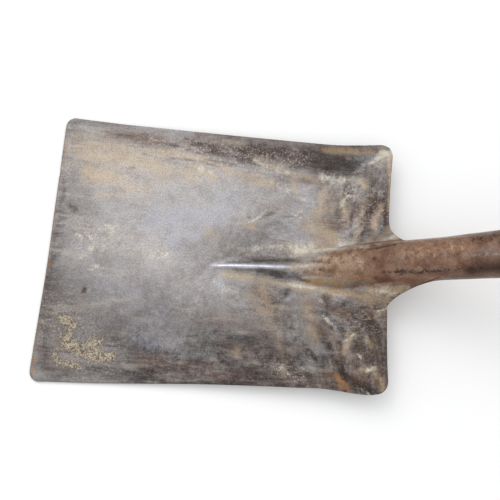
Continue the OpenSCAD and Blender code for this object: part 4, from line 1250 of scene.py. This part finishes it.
def evaluated(ob, name):
    """Replaces an object by a plain mesh of what its modifiers make."""
    graph = bpy.context.evaluated_depsgraph_get()
    mesh = bpy.data.meshes.new_from_object(ob.evaluated_get(graph))
    bpy.data.objects.remove(ob)
    mesh.name = name
    return link(bpy.data.objects.new(name, mesh))


def curvature(ob, points, normal):
    """How far each vertex stands out from its neighbours, from 0 on a flat to 1 on an edge."""
    edges = np.empty(len(ob.data.edges) * 2, np.int64)
    ob.data.edges.foreach_get("vertices", edges)
    a, b = edges.reshape(-1, 2).T
    total, count = np.zeros_like(points), np.zeros(len(points))
    for here, there in ((a, b), (b, a)):
        np.add.at(total, here, points[there])
        np.add.at(count, here, 1)
    out = ((points - total / count[:, None]) * normal).sum(1)
    return ease(out, 0.035, 0.13)


def make_yoke():
    maker = MeshMaker()
    ferrule = [(FERRULE_DEPTH, AXIS_R), (FERRULE_DEPTH, FERRULE_BORE_END_R), (0, FERRULE_BORE_R)]
    ferrule += [(0, FERRULE_R), (BAND_L, FERRULE_R), (BAND_L + BAND_STEP_L, FERRULE_R - BAND_T)]
    ferrule += [(FERRULE_L, FERRULE_END_R), (FERRULE_L, AXIS_R)]
    turned(maker, dense(filleted(ferrule, 1.1, 4), 2.0), HEAD, 96, 0.1, 51)
    t = np.linspace(0.02, math.pi - 0.02, 28)
    ball = np.stack([FERRULE_L - CROTCH_R * np.cos(t), 1.02 * CROTCH_R * np.sin(t)], 1)
    turned(maker, ball, HEAD, 64, 0.1, 52)
    half = BOSS_W / 2
    boss = [(-half, AXIS_R), (-half, BOSS_R), (half, BOSS_R), (half, AXIS_R)]
    for side in (1, -1):
        path = arm_path(side)
        far = np.linspace(0, 1, len(path))
        wide = ARM_R + 2.2 * (1 - ease(far, 0, 0.35)) + 1.0 * ease(far, 0.82, 1)
        thick = ARM_R + 0.8 * (1 - ease(far, 0, 0.4)) - 0.5 * ease(far, 0.3, 0.5) + 0.6 * ease(far, 0.85, 1)
        swept(maker, path, np.stack([wide, thick], 1), HEAD, 32)
        turned(maker, filleted(boss, 1.8, 5), across_head(GRIP_X, side * ARM_Y), 56, 0.1, 53)
    rough = maker.build("head_rough")
    remesh = rough.modifiers.new("remesh", "REMESH")
    remesh.mode = "VOXEL"
    remesh.voxel_size = 0.85 * MM
    smooth = rough.modifiers.new("smooth", "SMOOTH")
    smooth.factor, smooth.iterations = 0.5, 7
    ob = evaluated(rough, "head_finish")
    points, normal = read_vectors(ob, "co") / MM, read_vectors(ob, "normal")
    cast = Noise(55)
    x, y, z = points.T
    shift = 0.16 * cast(x, y, z, size=9, octaves=2) + 0.06 * cast(x, y, z, size=2.2)
    points += normal * shift[:, None]
    ob.data.vertices.foreach_set("co", (points * MM).ravel())
    ob.data.update()
    shade_smooth(ob.data)
    # Worn bright: the outside of the arms, the ferrule's lip, round the grip's ends, the hand's side, edges
    x, y = within(points, HEAD).T[:2]
    outer = ease(np.abs(y), 49, 58) * ease(x, 110, 140)
    lip = 1 - ease(x, 0.6, 3.0)
    seat = dabs(x, y, [(146, 44, 170, 44, 5, 0.7), (146, -44, 170, -44, 5, 0.7)])
    inner = ease(x, 66, 90) * (1 - ease(np.abs(y), 36, 46)) * 0.45
    worn = np.maximum.reduce([outer, lip, seat, inner, curvature(ob, points, normal)])
    paint(ob, "worn", np.clip(worn, 0, 1))
    return ob


def make_fastener(name, which, profile, matrix, seed, around=40):
    """A rivet, burr, rod or washer turned about its frame's X, standing for its own node of the part."""
    maker = MeshMaker()
    turned(maker, dense(filleted(profile, 0.35, 3), 0.8), matrix, around, 0.12, seed)
    finish_piece(maker.build(name + "_finish" + which), name + which, RIVET_STEEL)


def make_fasteners():
    ferrule_r = FERRULE_R + (FERRULE_END_R - FERRULE_R) * FERRULE_RIVET_X / FERRULE_L
    places = [("head", "", across_head(FERRULE_RIVET_X), ferrule_r)]
    for which, s in zip(("_upper", "_lower"), RIVETS_S[::-1]):
        places.insert(0, ("socket", which, across_socket(s), float(socket_r(s))))
    for seed, (where, which, matrix, r) in enumerate(places):
        peen, seat = r + BURR_T, r - 0.9
        rivet = mirrored(dome(peen - 0.1, RIVET_R + 1.8, 2.0)) + [(-peen + 0.1, RIVET_R)]
        rivet += [(seat, RIVET_R), (seat, HEAD_R)] + dome(r - 0.6, HEAD_R, HEAD_H + 0.5)
        make_fastener(where + "_rivet", which, rivet, matrix, 61 + seed)
        inner, hole = -r + BURR_SINK, RIVET_R + PIN_GAP
        burr = [(inner, hole), (-peen, hole), (-peen, BURR_R), (inner, BURR_R), (inner, hole)]
        make_fastener(where + "_burr", which, burr, matrix, 71 + seed)
    end, hole = GRIP_L / 2 + BOSS_W + WASHER_T, ROD_R + PIN_GAP
    cap = dome(end - 0.1, ROD_R + 2, 2.6)
    rod = mirrored(cap) + [(-end + 0.1, ROD_R), (end - 0.1, ROD_R)] + cap
    make_fastener("grip_rod", "", rod, across_head(GRIP_X), 81, 48)
    for seed, (which, way) in enumerate((("_left", 1), ("_right", -1))):
        a, b = way * (end - WASHER_T), way * end
        washer = [(a, hole), (a, WASHER_R), (b, WASHER_R), (b, hole), (a, hole)]
        make_fastener("grip_washer", which, washer[::way], across_head(GRIP_X), 91 + seed, 48)


# ---------------- floor, light and camera


def floor():
    half = 30.0
    mesh = bpy.data.meshes.new("floor")
    corners = [(half * x, half * y, 0) for x, y in ((-1, -1), (1, -1), (1, 1), (-1, 1))]
    mesh.from_pydata(corners, [], [(0, 1, 2, 3)])
    ob = link(bpy.data.objects.new("floor", mesh))
    ob.location.z = -0.0006
    g = Graph("paper")
    dress(ob, g.finish(g.mix(g.noise(400, 2), (247, 247, 247), (250, 249, 247)), 0.9, 0.0, None))


def light(name, place, target, size, power, colour):
    data = bpy.data.lights.new(name, "AREA")
    data.size, data.energy, data.color = size, power, colour
    ob = link(bpy.data.objects.new(name, data))
    ob.location = place
    ob.rotation_euler = (Vector(target) - Vector(place)).to_track_quat("-Z", "Y").to_euler()


def studio():
    floor()
    world = bpy.data.worlds.new("studio")
    world.use_nodes = True
    background = world.node_tree.nodes["Background"]
    background.inputs["Color"].default_value = (0.97, 0.985, 1.0, 1)
    background.inputs["Strength"].default_value = 0.96
    bpy.context.scene.world = world
    bpy.context.scene.view_settings.view_transform = "Standard"
    light("window", (-0.7, 1.0, 1.5), (0, 0.05, 0), 1.3, 8, (1.0, 0.985, 0.96))
    light("fill", (0.9, -0.6, 1.9), (0.2, 0, 0), 1.4, 3, (0.97, 0.985, 1.0))


def camera():
    """Looks steeply down on the blade from its right side, rolled so that the shaft climbs to the right."""
    target, distance = Vector((25.8, 11.3, 0)) * MM, 860.9 * MM
    azimuth, elevation, roll = (math.radians(a) for a in (6.0, 70.97, 10.27))
    level = math.cos(elevation)
    out = Vector((-math.sin(azimuth) * level, -math.cos(azimuth) * level, math.sin(elevation)))
    right = (-out).cross(Vector((0, 0, 1))).normalized()
    rolled = math.cos(roll) * right + math.sin(roll) * right.cross(-out)
    data = bpy.data.cameras.new("camera")
    data.lens, data.sensor_width, data.clip_start = 70.67, 36, 0.05
    ob = link(bpy.data.objects.new("camera", data))
    basis = Matrix((rolled, out.cross(rolled), out)).transposed().to_4x4()
    basis.translation = target + distance * out
    ob.matrix_world = basis
    bpy.context.scene.camera = ob


# ---------------- the scene

blade = make_blade()
paint_blade(blade)
finish_piece(blade, "blade", forged_steel())
RIVET_STEEL = rivet_steel()
ASH = wood("ash_finish", (178, 142, 100), (140, 102, 68), (92, 64, 44))
GRIP_WOOD = wood("grip_wood_finish", (178, 136, 92), (134, 92, 58), (84, 56, 38))
finish_piece(make_shaft(), "shaft", ASH)
finish_piece(make_grip(), "grip", GRIP_WOOD)
finish_piece(make_yoke(), "head_yoke", cast_iron())
make_fasteners()
studio()
camera()
